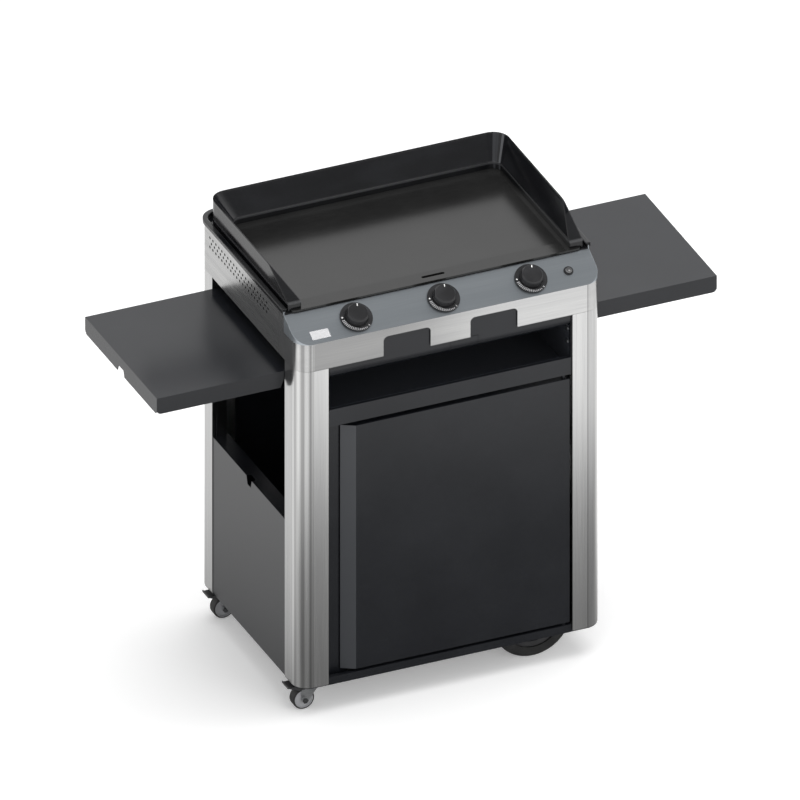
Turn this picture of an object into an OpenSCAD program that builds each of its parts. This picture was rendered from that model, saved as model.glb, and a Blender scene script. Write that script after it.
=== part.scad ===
// Outdoor gas griddle station: a wheeled cart that carries a three-burner griddle head.
// Millimetres. X to the user's right, Y to the back, Z up, origin on the floor under the middle of its box.

/* [Overall size] */
// Width of the cart and of the griddle head
body_w = 720; // [640:1:820]
// Depth from the front face to the back face
body_d = 534; // [500:1:620]
// Outer radius of the rounded upright corners
corner_r = 38; // [30:1:48]
// Thickness of the folded sheet
sheet_t = 1.5; // [1:0.1:2.5]
// Height of the deck's top face over the floor
deck_z = 74; // [72:1:90]
// Height of the griddle head's lower edge
head_z = 863; // [840:1:900]
// Height of the griddle head's side walls
head_h = 117; // [112:1:135]

/* [Corner posts] */
// Width of each leg of a post
post_leg = 72; // [66:1:84]
// Depth of the folds that turn into the openings
post_return = 34; // [30:1:40]
// Distance from the front face to the post screws
screw_inset = 25; // [18:1:28]
// Distance of the upper post screw below the head
screw_drop = 46; // [30:1:60]
// Distance between the two screws of a post
screw_pitch = 32; // [20:1:40]
// Radius of a screw shank
screw_r = 2.5; // [2:0.1:3.5]
// Radius of a screw head
screw_head_r = 5; // [4.2:0.1:6.5]
// Height of a screw head
screw_head_h = 1.5; // [1:0.1:1.8]

/* [Control fascia] */
// Height of the upright band
band_h = 67; // [60:1:72]
// Depth of the sloping control panel
slope_depth = 77; // [72:1:90]
// Rise of the sloping control panel
slope_rise = 42; // [38:1:44]
// Distance from the front face to the seam on the sides
seam_inset = 103; // [100:1:130]
// Width of each hand notch in the band
notch_w = 111; // [90:1:130]
// Height of each hand notch
notch_h = 48; // [40:1:52]
// Distance from the middle to the nearer side of a notch
notch_x = 47; // [36:1:60]
// Corner radius of a notch
notch_r = 11; // [6:1:16]

/* [Knobs and igniter] */
// Distance between neighbouring knobs
knob_pitch = 206; // [190:1:215]
// Radius of the fixed scale ring round a knob
ring_r = 36.5; // [34:0.5:37]
// Height of a scale ring over the panel
ring_h = 5; // [4:0.5:6]
// Radius of a knob at its foot
drum_r = 26; // [22:0.5:28]
// Radius of a knob at its shoulder
shoulder_r = 24.5; // [21:0.5:26]
// Radius of a knob's flat top
knob_top_r = 21.5; // [18:0.5:23]
// Height of a knob from its foot to its top
knob_h = 17; // [14:0.5:20]
// Height of a knob's bevelled edge
bevel_h = 3; // [2:0.5:4]
// Width of a knob between its finger flats
flats_w = 45; // [40:1:48]
// Angle of the knobs in the off position, clockwise from the line up the panel
knob_rest = 22; // [0:1:30]
// Free height under a knob
knob_lift = 5; // [4.6:0.1:7]
// Radius of a valve stem
stem_r = 4; // [3:0.1:5]
// Distance from the body's side to the igniter
igniter_side = 65; // [60:1:75]
// Radius of the igniter's bezel
bezel_r = 11; // [10:0.1:13]
// Height of the igniter's bezel
bezel_h = 3; // [2:0.1:4]
// Radius of the igniter's push button
button_r = 7.2; // [6:0.1:7.6]
// Height of the igniter's button over the panel
button_top = 5; // [4.2:0.1:6]

/* [Griddle] */
// Thickness of the griddle plate
plate_t = 6; // [4:0.5:6]
// Corner radius at the front of the plate
plate_front_r = 13; // [6:1:20]
// Length of the drain slot
slot_l = 54; // [30:1:60]
// Width of the drain slot
slot_w = 8; // [6:0.5:10]
// Distance from the plate's front edge to the slot
slot_inset = 20; // [18:0.5:22]
// Width of the plate's front strip that falls towards the slot
fall_w = 38; // [34:1:46]
// Drop of the front strip at the plate's front edge
fall_h = 1.6; // [0.8:0.1:2.4]
// Height of the splash guard over the plate
guard_h = 60; // [45:1:80]
// Distance from the body's side to the guard
guard_side = 12; // [11:0.5:16]
// Distance from the body's back to the guard
guard_back = 18; // [14:0.5:24]
// Thickness of the guard's sheet
guard_t = 1.8; // [1.5:0.1:2.5]
// Width of the guard's sloping inside on the sides
splash_side = 31; // [26:1:34]
// Width of the guard's sloping inside at the back
splash_back = 50; // [40:1:52]
// Height of the guard's upright foot over the plate
foot_h = 16; // [10:1:22]
// Distance from the body's front face to the guard's front end
guard_front = 82; // [80:1:95]
// Distance from the body's front face to the start of the sloping end
guard_break = 184; // [160:1:220]
// Radius of the bend at the start of the sloping end
guard_bend_r = 60; // [40:1:80]
// Height of the guard at its front end
guard_low = 14; // [8:1:20]

/* [Top frame] */
// Height of the rim over the side walls
rim_h = 6; // [4:0.5:9]
// Overhang of the rim
rim_out = 4; // [2:0.5:6]
// Width of the rim's top face
rim_w = 11; // [8:0.5:12]
// Thickness of the frame's sheet
frame_t = 2; // [1.5:0.1:2]
// Width of the ledge that carries the plate
ledge_w = 46; // [44:1:52]

/* [Burners and gas] */
// Height of the firebox
firebox_h = 82; // [76:1:86]
// Distance from the body's front face to the firebox
firebox_front = 109; // [107:1:112]
// Radius of a burner tube
burner_r = 17; // [14:0.5:20]
// Radius of a burner's venturi
venturi_r = 14; // [12:0.5:15]
// Depth of the burner axis below the plate
burner_drop = 52; // [44:1:56]
// Radius of the gas manifold
manifold_r = 11; // [8:0.5:12]
// Radius of the supply pipe
pipe_r = 6; // [4:0.5:6.5]
// Radius of a valve body
valve_r = 13; // [11:0.5:15]
// Radius of a spark electrode's ceramic
electrode_r = 3.5; // [2.5:0.1:4.5]

/* [Grease collection] */
// Distance from the middle to the grease tray's centre line
tray_x = 34; // [33:1:36]
// Inside width of the grease tray
tray_w = 54; // [46:1:56]
// Length of the grease tray
tray_l = 140; // [120:1:160]
// Depth of the grease tray
tray_h = 18; // [14:1:24]
// Width of the grease downpipe
pipe_w = 20; // [16:1:20]

/* [Cart panels] */
// Height of the side panel's top edge
side_top = 464; // [440:1:480]
// Width of the side panel's top fold
side_fold = 38; // [34:1:42]
// Width of the finger notch in the side panel
hook_w = 29; // [20:1:40]
// Depth of the finger notch in the side panel
hook_h = 19; // [12:1:24]
// Distance of the rails and the door behind the front face
rail_inset = 5; // [4:0.5:8]
// Height of the deck rails over the deck
deck_rail = 14; // [10:1:15]
// Height of the middle shelf's lower edge
mid_z = 713; // [700:1:730]
// Height of the middle shelf's front rail
mid_rail = 42; // [34:1:50]
// Width of the rail's folds
rail_fold = 10; // [8:1:12]

/* [Door] */
// Clearance of the door below the shelf rail
door_top_gap = 11; // [8:1:14]
// Height of the door's lower edge over the deck
door_foot = 21; // [17:1:26]
// Depth of the door
door_t = 19; // [16:1:22]
// Width of the visible jamb beside the grip
jamb_w = 37; // [32:1:44]
// Width of the folded grip strip
grip_strip_w = 30; // [24:1:36]
// Depth of the folded grip strip
grip_strip_d = 17; // [13:0.5:17.5]
// Radius of a door hinge pin
hinge_r = 4; // [3:0.1:5]

/* [Side shelves] */
// Length of a side shelf beyond the body
shelf_l = 300; // [260:1:320]
// Height of a side shelf's top face
shelf_z = 835; // [820:1:840]
// Height of a shelf's folded edge
shelf_h = 40; // [36:1:40]
// Clearance between a shelf and the posts
shelf_gap = 2; // [1:0.1:3]
// Width of the hand notch in a shelf's outer edge
grab_w = 37; // [30:1:60]
// Depth of the hand notch in a shelf's outer edge
grab_h = 15; // [8:1:20]
// Radius of the lower outer corners of a shelf
shelf_r = 11; // [6:1:16]

/* [Castors] */
// Distance from the body's side to the castor swivel
castor_side = 54; // [50:1:60]
// Distance from the body's front or back face to the castor swivel
castor_inset = 53; // [50:1:60]
// Radius of a castor wheel
castor_r = 25; // [22:0.5:25.5]
// Width of a castor wheel
castor_w = 22; // [18:0.5:24]
// Trail of a castor wheel
castor_trail = 22; // [18:0.5:24]
// Side of the castor's square plate
castor_plate = 60; // [52:1:62]

/* [Fixed wheels] */
// Radius of a fixed wheel
wheel_r = 91; // [84:1:95]
// Width of a fixed wheel
wheel_w = 36; // [28:1:40]
// Distance from the body's side to the wheel axle
wheel_side = 142; // [136:1:155]
// Distance from the body's front or back face to a wheel's middle
wheel_inset = 67; // [62:1:76]
// Radius of the wheel axle
axle_r = 6; // [5:0.5:8]

/* [Fits] */
// Radial clearance of a turning or sliding fit
run_fit = 0.05; // [0.02:0.01:0.1]
// Clearance between sheets that lie beside each other
lay_gap = 0.5; // [0.3:0.1:0.8]

/* [Hidden] */
$fn = 48;
over = 1;
hw = body_w / 2;
hd = body_d / 2;
head_top = head_z + head_h;
far = body_w + body_d;
double = 2 * sheet_t;
slope_a = atan(slope_rise / slope_depth);
slope_y = -hd + slope_depth / 2;
slope_z = head_z + band_h + slope_rise / 2;
panel_top = head_z + band_h + slope_rise;
panel_y = -hd + slope_depth;
seam_y = -hd + seam_inset;
knob_xs = [-knob_pitch, 0, knob_pitch];
opening_x = hw - post_leg;
opening_y = hd - post_leg;
front_y = -hd + rail_inset;
igniter_x = hw - igniter_side;

// Heights under the griddle plate
ledge_z = panel_top;
plate_z = ledge_z + frame_t;
plate_top = plate_z + plate_t;
plate_front = panel_y - frame_t;
slot_y = plate_front + slot_inset;
burner_z = plate_z - burner_drop;

// Shelf hinge
shelf_pin_z = shelf_z - shelf_h / 2;
shelf_pin_x = hw - shelf_h / 2;
shelf_in_x = hw - side_fold;
shelf_y = opening_y - shelf_gap;
shelf_pin_r = screw_r * 1.6;

// Castors and wheels
castor_x = hw - castor_side;
castor_y = hd - castor_inset;
deck_t = 2;
deck_low = deck_z - deck_t;
castor_plate_t = 3;
castor_head_h = 11;
castor_head_r = 22;
castor_play = 0.5;
crown_t = 3;
crown_z = deck_low - castor_plate_t - castor_head_h - castor_play - crown_t;
kingpin_r = 5;
kingpin_h = 9;
fork_t = 2;
fork_gap = 1;
wheel_x = hw - wheel_side;
wheel_y = hd - wheel_inset;
tyre_share = 0.73;
castor_hub_share = 0.85;

// Door
door_x1 = opening_x - lay_gap * 10;
door_x0 = -opening_x + jamb_w;
door_z0 = deck_z + door_foot;
door_z1 = mid_z - door_top_gap;
door_back = front_y + door_t;
hinge_inset = 11;
hinge_x = door_x1 - hinge_inset;
hinge_y = front_y + door_t / 2 - lay_gap;
door_sheet = 1.2;
magnet_t = 3;
magnet_w = 15;
magnet_l = 40;
magnet_z = (door_z0 + door_z1) / 2;
jamb_y = door_back + magnet_t;
hinge_boss_r = 7;
pin_depth = 12;

// Posts, panels and shelves
half = 0.5;
screw_zs = [head_z - screw_drop, head_z - screw_drop - screw_pitch];
screw_shank = 8;
wall_x = opening_x - lay_gap;
side_foot = deck_z + deck_t;
side_hem = 20;
hook_reach = 12;
hook_share = 0.6;
slot_long = 120;
slot_high = 8;
slot_step = 160;
slot_low = 76;
slot_rise = 30;
slot_zs = [deck_z + slot_low, deck_z + slot_low + slot_rise, mid_z - slot_low, mid_z - slot_low + slot_rise];
mid_lift = 7;
mid_back = -front_y - rail_fold - lay_gap;
shelf_cut = 8;
shelf_ear = 15;
shelf_hem = 8;
grab_share = 0.7;

// Wheels
wheel_room = 6;
rail_drop = 3;
collar_l = 8;
housing_half = wheel_w / 2 + collar_l;
rim_share = 0.815;
rim_half = 14;
hub_r = 20;
spoke_step = 60;
spoke_w = 12;
shoulder_share = 0.25;
bolt_inset = 7;
bolt_r = 4;
castor_hub_r = castor_r * castor_hub_share;
castor_axle_r = 3;
cheek_r = 9;
cheek_set = 3.5;
crown_reach = 14;
pedal_set = 4;
pedal_x = -castor_trail - pedal_set;
pedal_z = crown_z - over;
pedal_pin_r = 2;
pedal_arm = 10;
pedal_reach = 60;
pedal_rise = 9.5;
pedal_top = pedal_z + pedal_rise;
pedal_lip = 2.5;

// Griddle head
vent_rows = 3;
vent_cols = 20;
vent_back = 60;
vent_y = hd - vent_back;
vent_step = 16;
vent_drop = 25;
vent_row = 11.5;
vent_r = 3.25;
shell_fold = 14;
front_bar = 10;
stem_hole_r = stem_r + lay_gap;
stem_deep = 30;
stem_up = 9;
ring_edge_share = 0.985;
ring_play = 0.5;
flats_share = 0.4;
bend_steps = 12;
knob_push = 4;
igniter_r = 9;
igniter_deep = 30;
button_deep = 8;
guard_x = hw - guard_side;
guard_y1 = hd - guard_back;
guard_top = plate_top + guard_h;
plate_in = 4;
plate_x = guard_x - plate_in;
plate_back = guard_y1 - plate_in;
seat_t = 1;
seat_play = 0.2;
foot_r = 24;
skin = 0.05;

// Burners and gas
firebox_side = 48;
firebox_back = 57;
firebox_fold = 14;
firebox_x = hw - firebox_side;
firebox_y0 = -hd + firebox_front;
firebox_y1 = hd - firebox_back;
firebox_z = ledge_z - firebox_h;
burner_front = 8;
burner_rear = 15;
burner_y0 = firebox_y0 + burner_front;
burner_y1 = firebox_y1 - burner_rear;
burner_stub_r = 6;
port_count = 6;
port_tilt = 60;
port_w = 2;
port_l = 36;
nozzle_front = 91;
nozzle_y = -hd + nozzle_front;
nozzle_gap = 2;
nozzle_r = 5;
manifold_front = 62;
manifold_y = -hd + manifold_front;
manifold_rise = 30;
manifold_z = head_z + manifold_rise;
manifold_end = 24;
boss_r = 8;
boss_h = 14;
supply_side = 60;
supply_x = hw - supply_side;
supply_rise = 17;
supply_z = head_z + supply_rise;
gland_l = 17;
valve_low = 44;
bonnet_h = 16;
bonnet_r = 9;
valve_mid_y = slope_y + bonnet_h;
electrode_side = 9;
electrode_l = 38;
tip_share = 0.35;

// Grease
shield_z = head_z + sheet_t;
shield_inset = 9;
chute_y0 = panel_y + front_bar + lay_gap;
chute_y1 = firebox_y0 - lay_gap;
trough_h = 17;
trough_z = ledge_z - trough_h;
tray_lip = 5;
lip_z = head_z - tray_lip - over;
tray_front = 20;
tray_y0 = manifold_y - tray_front;

steel = [0.78, 0.79, 0.80];
panel_grey = [0.52, 0.55, 0.58];
coat = [0.20, 0.20, 0.21];
enamel = [0.07, 0.07, 0.08];
satin = [0.30, 0.30, 0.30];
black = [0.10, 0.10, 0.10];
brass = [0.72, 0.58, 0.28];
zinc = [0.62, 0.63, 0.64];
rubber = [0.13, 0.13, 0.13];
ceramic = [0.90, 0.89, 0.85];

// Flat rounded rectangle about the origin
module rrect(w, d, r) {
    square([w - 2 * r, d], center = true);
    square([w, d - 2 * r], center = true);
    for (sx = [-1, 1], sy = [-1, 1])
        translate([sx * (w / 2 - r), sy * (d / 2 - r)]) circle(r);
}

// Outline of the body, drawn in by a distance
module body_outline(inset) {
    rrect(body_w - 2 * inset, body_d - 2 * inset, corner_r - inset);
}

// Upright ring of the body outline between two insets
module body_ring(inset, width, z0, z1) {
    translate([0, 0, z0]) linear_extrude(z1 - z0) difference() {
        body_outline(inset);
        body_outline(inset + width);
    }
}

// Everything behind one depth
module behind(y) {
    translate([-far, y, 0]) cube([2 * far, far, far]);
}

// Box between two corners
module block(a, b) {
    translate(a) cube(b - a);
}

// Profile in depth and height, drawn along the width
module along_x(length) {
    translate([-length / 2, 0, 0]) rotate([90, 0, 90]) linear_extrude(length) children();
}

// Profile in width and height, drawn along the depth
module along_y(y0, y1) {
    translate([0, y1, 0]) rotate([90, 0, 0]) linear_extrude(y1 - y0) children();
}

// Rod along the width or the depth
module rod_x(r, x0, x1) {
    translate([x0, 0, 0]) rotate([0, 90, 0]) cylinder(r = r, h = x1 - x0);
}
module rod_y(r, y0, y1) {
    translate([0, y1, 0]) rotate([90, 0, 0]) cylinder(r = r, h = y1 - y0);
}

// Place on the sloping panel, with Z square to it
module on_panel(x) {
    translate([x, slope_y, slope_z]) rotate([slope_a, 0, 0]) children();
}

// Both sides of the cart
module both_sides() {
    children();
    mirror([1, 0, 0]) children();
}
module four_corners() {
    both_sides() {
        children();
        mirror([0, 1, 0]) children();
    }
}

// Cart frame
module post_plan() {
    intersection() {
        difference() {
            body_outline(0);
            body_outline(sheet_t);
        }
        translate([-hw, -hd]) square(post_leg);
    }
    translate([-opening_x - sheet_t, -hd]) square([sheet_t, post_return]);
    translate([-hw, -opening_y - sheet_t]) square([post_return, sheet_t]);
}

module corner_posts() {
    color(steel) four_corners() difference() {
        translate([0, 0, deck_z]) linear_extrude(head_z - deck_z) post_plan();
        translate([-shelf_pin_x, 0, shelf_pin_z])
            rod_y(shelf_pin_r + run_fit, -opening_y - double, -opening_y + over);
        for (z = screw_zs)
            translate([0, -hd + screw_inset, z]) rod_x(screw_r + run_fit, -opening_x - double, -opening_x + over);
    }
}

module post_screws() {
    color(zinc) four_corners() for (z = screw_zs) translate([0, -hd + screw_inset, z]) {
        rod_x(screw_r, -opening_x - screw_shank, -wall_x + sheet_t);
        rod_x(screw_head_r, -wall_x + sheet_t, -wall_x + sheet_t + screw_head_h);
    }
}

// Folded panel that closes the lower half of a side
module side_panel() {
    panel_y1 = opening_y - lay_gap;
    color(coat) difference() {
        union() {
            block([-hw + sheet_t, -panel_y1, side_foot], [-hw + double, panel_y1, side_top]);
            block([-hw + sheet_t, -panel_y1, side_top - sheet_t], [-hw + side_fold, panel_y1, side_top]);
            block([-hw + side_fold - sheet_t, -panel_y1, side_top - rail_fold],
                [-hw + side_fold, panel_y1, side_top]);
            for (s = [0, 1]) mirror([0, s, 0])
                block([-hw + sheet_t, -panel_y1, side_foot], [-hw + side_hem, -panel_y1 + sheet_t, side_top]);
        }
        translate([-hw + hook_reach / 2, 0, 0]) along_x(hook_reach + over) polygon([
            [-hook_w / 2, side_top + over], [-hook_w / 2, side_top],
            [-hook_w * hook_share / 2, side_top - hook_h], [hook_w * hook_share / 2, side_top - hook_h],
            [hook_w / 2, side_top], [hook_w / 2, side_top + over]]);
    }
}

// Rounded slot for air, standing in a back wall
module air_slot(x, z) {
    translate([x, 0, z]) along_y(0, hd + over) {
        square([slot_long - slot_high, slot_high], center = true);
        for (s = [-1, 1]) translate([s * (slot_long - slot_high) / 2, 0]) circle(slot_high / 2, $fn = 24);
    }
}

module back_panel() {
    back_x = opening_x - lay_gap;
    color(coat) difference() {
        union() {
            block([-back_x, -front_y - sheet_t, deck_z + deck_rail], [back_x, -front_y, head_z - lay_gap]);
            both_sides()
                block([-back_x, -front_y - rail_fold, deck_z + deck_rail],
                    [-back_x + sheet_t, -front_y, head_z - lay_gap]);
        }
        for (i = [-1 : 1], z = slot_zs) air_slot(i * slot_step, z);
    }
}

module base_tray() {
    rail_x = opening_x - lay_gap;
    color(coat) {
        translate([0, 0, deck_low]) linear_extrude(deck_t) difference() {
            union() {
                square([2 * rail_x, -2 * front_y], center = true);
                square([2 * (hw - double), 2 * (opening_y - lay_gap)], center = true);
                intersection() {
                    body_outline(sheet_t * half);
                    four_corners() translate([-hw, -hd]) square(post_leg + over);
                }
            }
            for (s = [-1, 1]) translate([wheel_x, s * wheel_y])
                square([2 * (wheel_r + wheel_room), wheel_w + wheel_room], center = true);
        }
        for (s = [0, 1]) mirror([0, s, 0]) difference() {
            union() {
                block([-rail_x, front_y, deck_low - rail_drop], [rail_x, front_y + sheet_t, deck_z + deck_rail]);
                block([-rail_x, front_y, deck_z + deck_rail - sheet_t],
                    [rail_x, front_y + rail_fold, deck_z + deck_rail]);
            }
            translate([hinge_x, hinge_y, deck_z]) cylinder(r = hinge_r + run_fit, h = deck_rail + over);
        }
        both_sides()
            block([-hw + double, -opening_y + double + lay_gap, deck_low],
                [-hw + double + sheet_t, opening_y - double - lay_gap, deck_z + deck_rail]);
    }
}

// Arched covers over the fixed wheels, which also carry the axle
module housing_side(r) {
    intersection() {
        translate([wheel_x, wheel_r]) circle(r, $fn = 64);
        translate([0, deck_z]) square([2 * hw, 2 * wheel_r]);
    }
}

module wheel_housings() {
    color(coat) for (s = [-1, 1]) translate([0, s * wheel_y, 0]) difference() {
        union() {
            along_y(-housing_half, housing_half) housing_side(wheel_r + wheel_room + frame_t);
            block([wheel_x - wheel_r - wheel_room - rail_fold, -housing_half - rail_inset, deck_z],
                [wheel_x + wheel_r + wheel_room + rail_fold, housing_half + rail_inset, deck_z + frame_t]);
        }
        along_y(-housing_half + frame_t, housing_half - frame_t) housing_side(wheel_r + wheel_room);
        translate([wheel_x, 0, wheel_r]) rod_y(axle_r + run_fit, -housing_half - over, housing_half + over);
        translate([wheel_x - wheel_r - wheel_room, -housing_half + frame_t, deck_z - over])
            cube([2 * (wheel_r + wheel_room), 2 * (housing_half - frame_t), frame_t + over]);
    }
}

// Middle shelf with a folded front rail and full side walls, which the post screws hold
module mid_shelf() {
    mid_floor = mid_z + mid_lift;
    rail_top = mid_z + mid_rail;
    color(coat) difference() {
        union() {
            block([-wall_x, front_y, mid_floor], [wall_x, mid_back, mid_floor + sheet_t]);
            block([-wall_x, front_y, mid_z], [wall_x, front_y + sheet_t, rail_top]);
            block([-wall_x, front_y, rail_top - sheet_t], [wall_x, front_y + rail_fold, rail_top]);
            block([-wall_x, front_y, mid_z], [wall_x, front_y + door_t, mid_z + sheet_t]);
            both_sides()
                block([-wall_x, front_y, mid_floor], [-wall_x + sheet_t, mid_back, head_z - lay_gap]);
            block([-wall_x, mid_back - sheet_t, mid_floor], [wall_x, mid_back, rail_top]);
        }
        translate([hinge_x, hinge_y, mid_z - over]) cylinder(r = hinge_r + run_fit, h = double + over);
        four_corners() for (z = screw_zs)
            translate([0, -hd + screw_inset, z]) rod_x(screw_r + run_fit, -opening_x, -wall_x + double);
    }
}

module door_jamb() {
    color(coat) {
        block([-opening_x + lay_gap, jamb_y, deck_z], [door_x0 + magnet_w, jamb_y + sheet_t, mid_z + mid_lift]);
        block([door_x0 + magnet_w - sheet_t, jamb_y, deck_z],
            [door_x0 + magnet_w, jamb_y + side_hem, mid_z + mid_lift]);
    }
}

// Griddle head
module vents() {
    for (row = [0 : vent_rows - 1], col = [0 : vent_cols - 1])
        translate([0, vent_y - (col + row % 2 / 2) * vent_step, head_top - vent_drop - row * vent_row])
            rod_x(vent_r, -far, far, $fn = 14);
}

module body_shell() {
    color(steel) difference() {
        intersection() {
            union() {
                body_ring(0, sheet_t, head_z, head_top);
                body_ring(0, shell_fold, head_z, head_z + sheet_t);
            }
            behind(seam_y);
        }
        vents();
        translate([supply_x, 0, supply_z]) rod_y(pipe_r + run_fit, 0, hd + over);
    }
}

module fascia_side(inset, foot) {
    polygon([[-hd + inset, foot],
        [-hd + inset, head_z + band_h - inset * tan(slope_a / 2)],
        [panel_y, panel_top - inset / cos(slope_a)],
        [panel_y, head_top + foot - head_z + inset], [seam_y + inset, head_top + foot - head_z + inset],
        [seam_y + inset, foot]]);
}

module notch_shape() {
    translate([notch_x, head_z - over]) {
        square([notch_w, notch_h + over - notch_r]);
        translate([notch_r, 0]) square([notch_w - 2 * notch_r, notch_h + over]);
        for (x = [notch_r, notch_w - notch_r]) translate([x, notch_h + over - notch_r]) circle(notch_r);
    }
}

module control_fascia() {
    color(steel) difference() {
        intersection() {
            translate([0, 0, head_z]) linear_extrude(head_h) body_outline(0);
            along_x(body_w) fascia_side(0, head_z);
        }
        intersection() {
            translate([0, 0, head_z - over]) linear_extrude(head_h + double + over) body_outline(sheet_t);
            along_x(body_w) fascia_side(sheet_t, head_z - over);
        }
        both_sides() along_y(-hd - over, -hd + double) notch_shape();
        for (x = knob_xs) on_panel(x) translate([0, 0, -double]) cylinder(r = stem_hole_r, h = 2 * double);
        on_panel(igniter_x) translate([0, 0, -double]) cylinder(r = igniter_r + run_fit, h = 2 * double);
    }
}

module top_frame() {
    rim_top = head_top + rim_h;
    color(enamel) intersection() {
        union() {
            body_ring(-rim_out, rim_w, rim_top - frame_t, rim_top);
            body_ring(-rim_out, sheet_t, head_top - double, rim_top);
            body_ring(sheet_t + lay_gap, frame_t, ledge_z, rim_top);
            translate([0, 0, ledge_z]) linear_extrude(frame_t) difference() {
                body_outline(sheet_t + lay_gap);
                translate([-hw + ledge_w, panel_y + front_bar])
                    square([2 * (hw - ledge_w), firebox_y1 + frame_t - panel_y - front_bar]);
            }
        }
        behind(panel_y);
    }
}

module firebox() {
    color(zinc) difference() {
        union() {
            block([-firebox_x, firebox_y0, firebox_z], [firebox_x, firebox_y1, ledge_z]);
            block([-firebox_x - firebox_fold, firebox_y0, ledge_z - sheet_t],
                [firebox_x + firebox_fold, firebox_y1 + firebox_fold, ledge_z]);
        }
        block([-firebox_x + sheet_t, firebox_y0 + sheet_t, firebox_z + sheet_t],
            [firebox_x - sheet_t, firebox_y1 - sheet_t, ledge_z + over]);
        for (x = knob_xs) translate([x, 0, burner_z]) {
            rod_y(venturi_r + run_fit, firebox_y0 - over, firebox_y0 + double);
            rod_y(burner_stub_r + run_fit, firebox_y1 - double, firebox_y1 + over);
        }
        for (sx = [-1, 1], sy = [-1, 1])
            translate([sx * knob_pitch * half, sy * knob_pitch * half, firebox_z - over])
                cylinder(r = venturi_r, h = double + over);
    }
}

module heat_shield() {
    color(zinc) intersection() {
        translate([0, 0, shield_z]) linear_extrude(sheet_t) difference() {
            body_outline(shield_inset);
            translate([tray_x - pipe_w / 2 - lay_gap, chute_y0 - lay_gap])
                square([pipe_w + 2 * lay_gap, chute_y1 - chute_y0 + 2 * lay_gap]);
        }
        behind(panel_y + rail_inset);
    }
}

module burners() {
    color(zinc) for (x = knob_xs) translate([x, 0, burner_z]) difference() {
        union() {
            rod_y(burner_r, burner_y0, burner_y1);
            rod_y(venturi_r, nozzle_y + nozzle_gap, burner_y0);
            rod_y(burner_stub_r, burner_y1, firebox_y1);
        }
        rod_y(venturi_r - frame_t, nozzle_y, burner_y0 + double);
        rod_y(burner_r - frame_t, burner_y0 + frame_t, burner_y1 - frame_t);
        for (s = [-1, 1], i = [0 : port_count - 1])
            translate([0, burner_y0 + (i + half) * (burner_y1 - burner_y0) / port_count, 0])
                rotate([0, s * port_tilt, 0]) translate([-port_w / 2, -port_l / 2, burner_r - double])
                    cube([port_w, port_l, 2 * double]);
    }
}

module gas_manifold() {
    color(zinc) {
        translate([0, manifold_y, manifold_z]) rod_x(manifold_r, -knob_pitch - manifold_end, supply_x);
        for (x = knob_xs) translate([x, manifold_y, manifold_z]) cylinder(r = boss_r, h = boss_h);
        translate([supply_x, manifold_y, manifold_z]) sphere(manifold_r);
        translate([supply_x, manifold_y, supply_z]) cylinder(r = pipe_r, h = manifold_z - supply_z);
        translate([supply_x, manifold_y, supply_z]) sphere(pipe_r);
        translate([supply_x, 0, supply_z]) {
            rod_y(pipe_r, manifold_y, hd + gland_l);
            rod_y(pipe_r + frame_t * 2, hd, hd + gland_l / 2);
        }
    }
}

module gas_valves() {
    color(brass) for (x = knob_xs) difference() {
        union() {
            on_panel(x) {
                translate([0, 0, -valve_low]) cylinder(r = valve_r, h = valve_low - bonnet_h);
                translate([0, 0, -bonnet_h - over]) cylinder(r = bonnet_r, h = bonnet_h + over - sheet_t);
                translate([0, 0, -double - frame_t]) cylinder(r = valve_r + frame_t, h = frame_t + sheet_t);
            }
            translate([x, 0, burner_z]) rod_y(nozzle_r, valve_mid_y, nozzle_y);
            translate([x, manifold_y, manifold_z + boss_h]) cylinder(r = pipe_r, h = boss_h);
        }
        on_panel(x) translate([0, 0, -stem_deep]) cylinder(r = stem_r + run_fit, h = stem_deep + over);
    }
}

module valve_stem(i) {
    color(zinc) on_panel(knob_xs[i]) translate([0, 0, -stem_deep + lay_gap])
        cylinder(r = stem_r, h = stem_deep + knob_lift + stem_up - lay_gap);
}

// Fixed rings with the flame scales, lying on the panel round the knobs
module knob_rings() {
    color(black) for (x = knob_xs) on_panel(x) difference() {
        union() {
            cylinder(r = ring_r, h = ring_h * half);
            translate([0, 0, ring_h * half])
                cylinder(r1 = ring_r, r2 = ring_r * ring_edge_share, h = ring_h * half);
        }
        translate([0, 0, -over]) cylinder(r = drum_r + ring_play, h = ring_h + 2 * over);
    }
}

// Round knob with a bevelled edge and two finger flats
module knob(i) {
    wall_h = knob_h - bevel_h;
    flats_h = knob_h * (1 - flats_share);
    color(black) on_panel(knob_xs[i]) rotate([0, 0, -knob_rest]) translate([0, 0, knob_lift]) difference() {
        union() {
            cylinder(r1 = drum_r, r2 = shoulder_r, h = wall_h);
            translate([0, 0, wall_h]) cylinder(r1 = shoulder_r, r2 = knob_top_r, h = bevel_h);
        }
        for (sx = [-1, 1]) translate([sx * (flats_w + drum_r) * half, 0, knob_h - flats_h * half + over])
            cube([drum_r, 2 * drum_r, flats_h + 2 * over], center = true);
        translate([0, 0, -over]) cylinder(r = stem_r + run_fit, h = stem_up + knob_push + 2 * over);
    }
}

// Bezel and body of the igniter, let into the panel
module igniter_housing() {
    color(black) on_panel(igniter_x) difference() {
        union() {
            cylinder(r1 = bezel_r, r2 = bezel_r - over, h = bezel_h);
            translate([0, 0, -igniter_deep]) cylinder(r = igniter_r, h = igniter_deep + over);
        }
        translate([0, 0, -button_deep]) cylinder(r = button_r + run_fit, h = button_deep + bezel_h + over);
    }
}

module igniter_button() {
    color(zinc) on_panel(igniter_x) {
        translate([0, 0, -button_deep + knob_push]) cylinder(r = button_r, h = button_deep + button_top - knob_push - over);
        translate([0, 0, button_top - over]) cylinder(r1 = button_r, r2 = button_r - over, h = over);
    }
}

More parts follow.
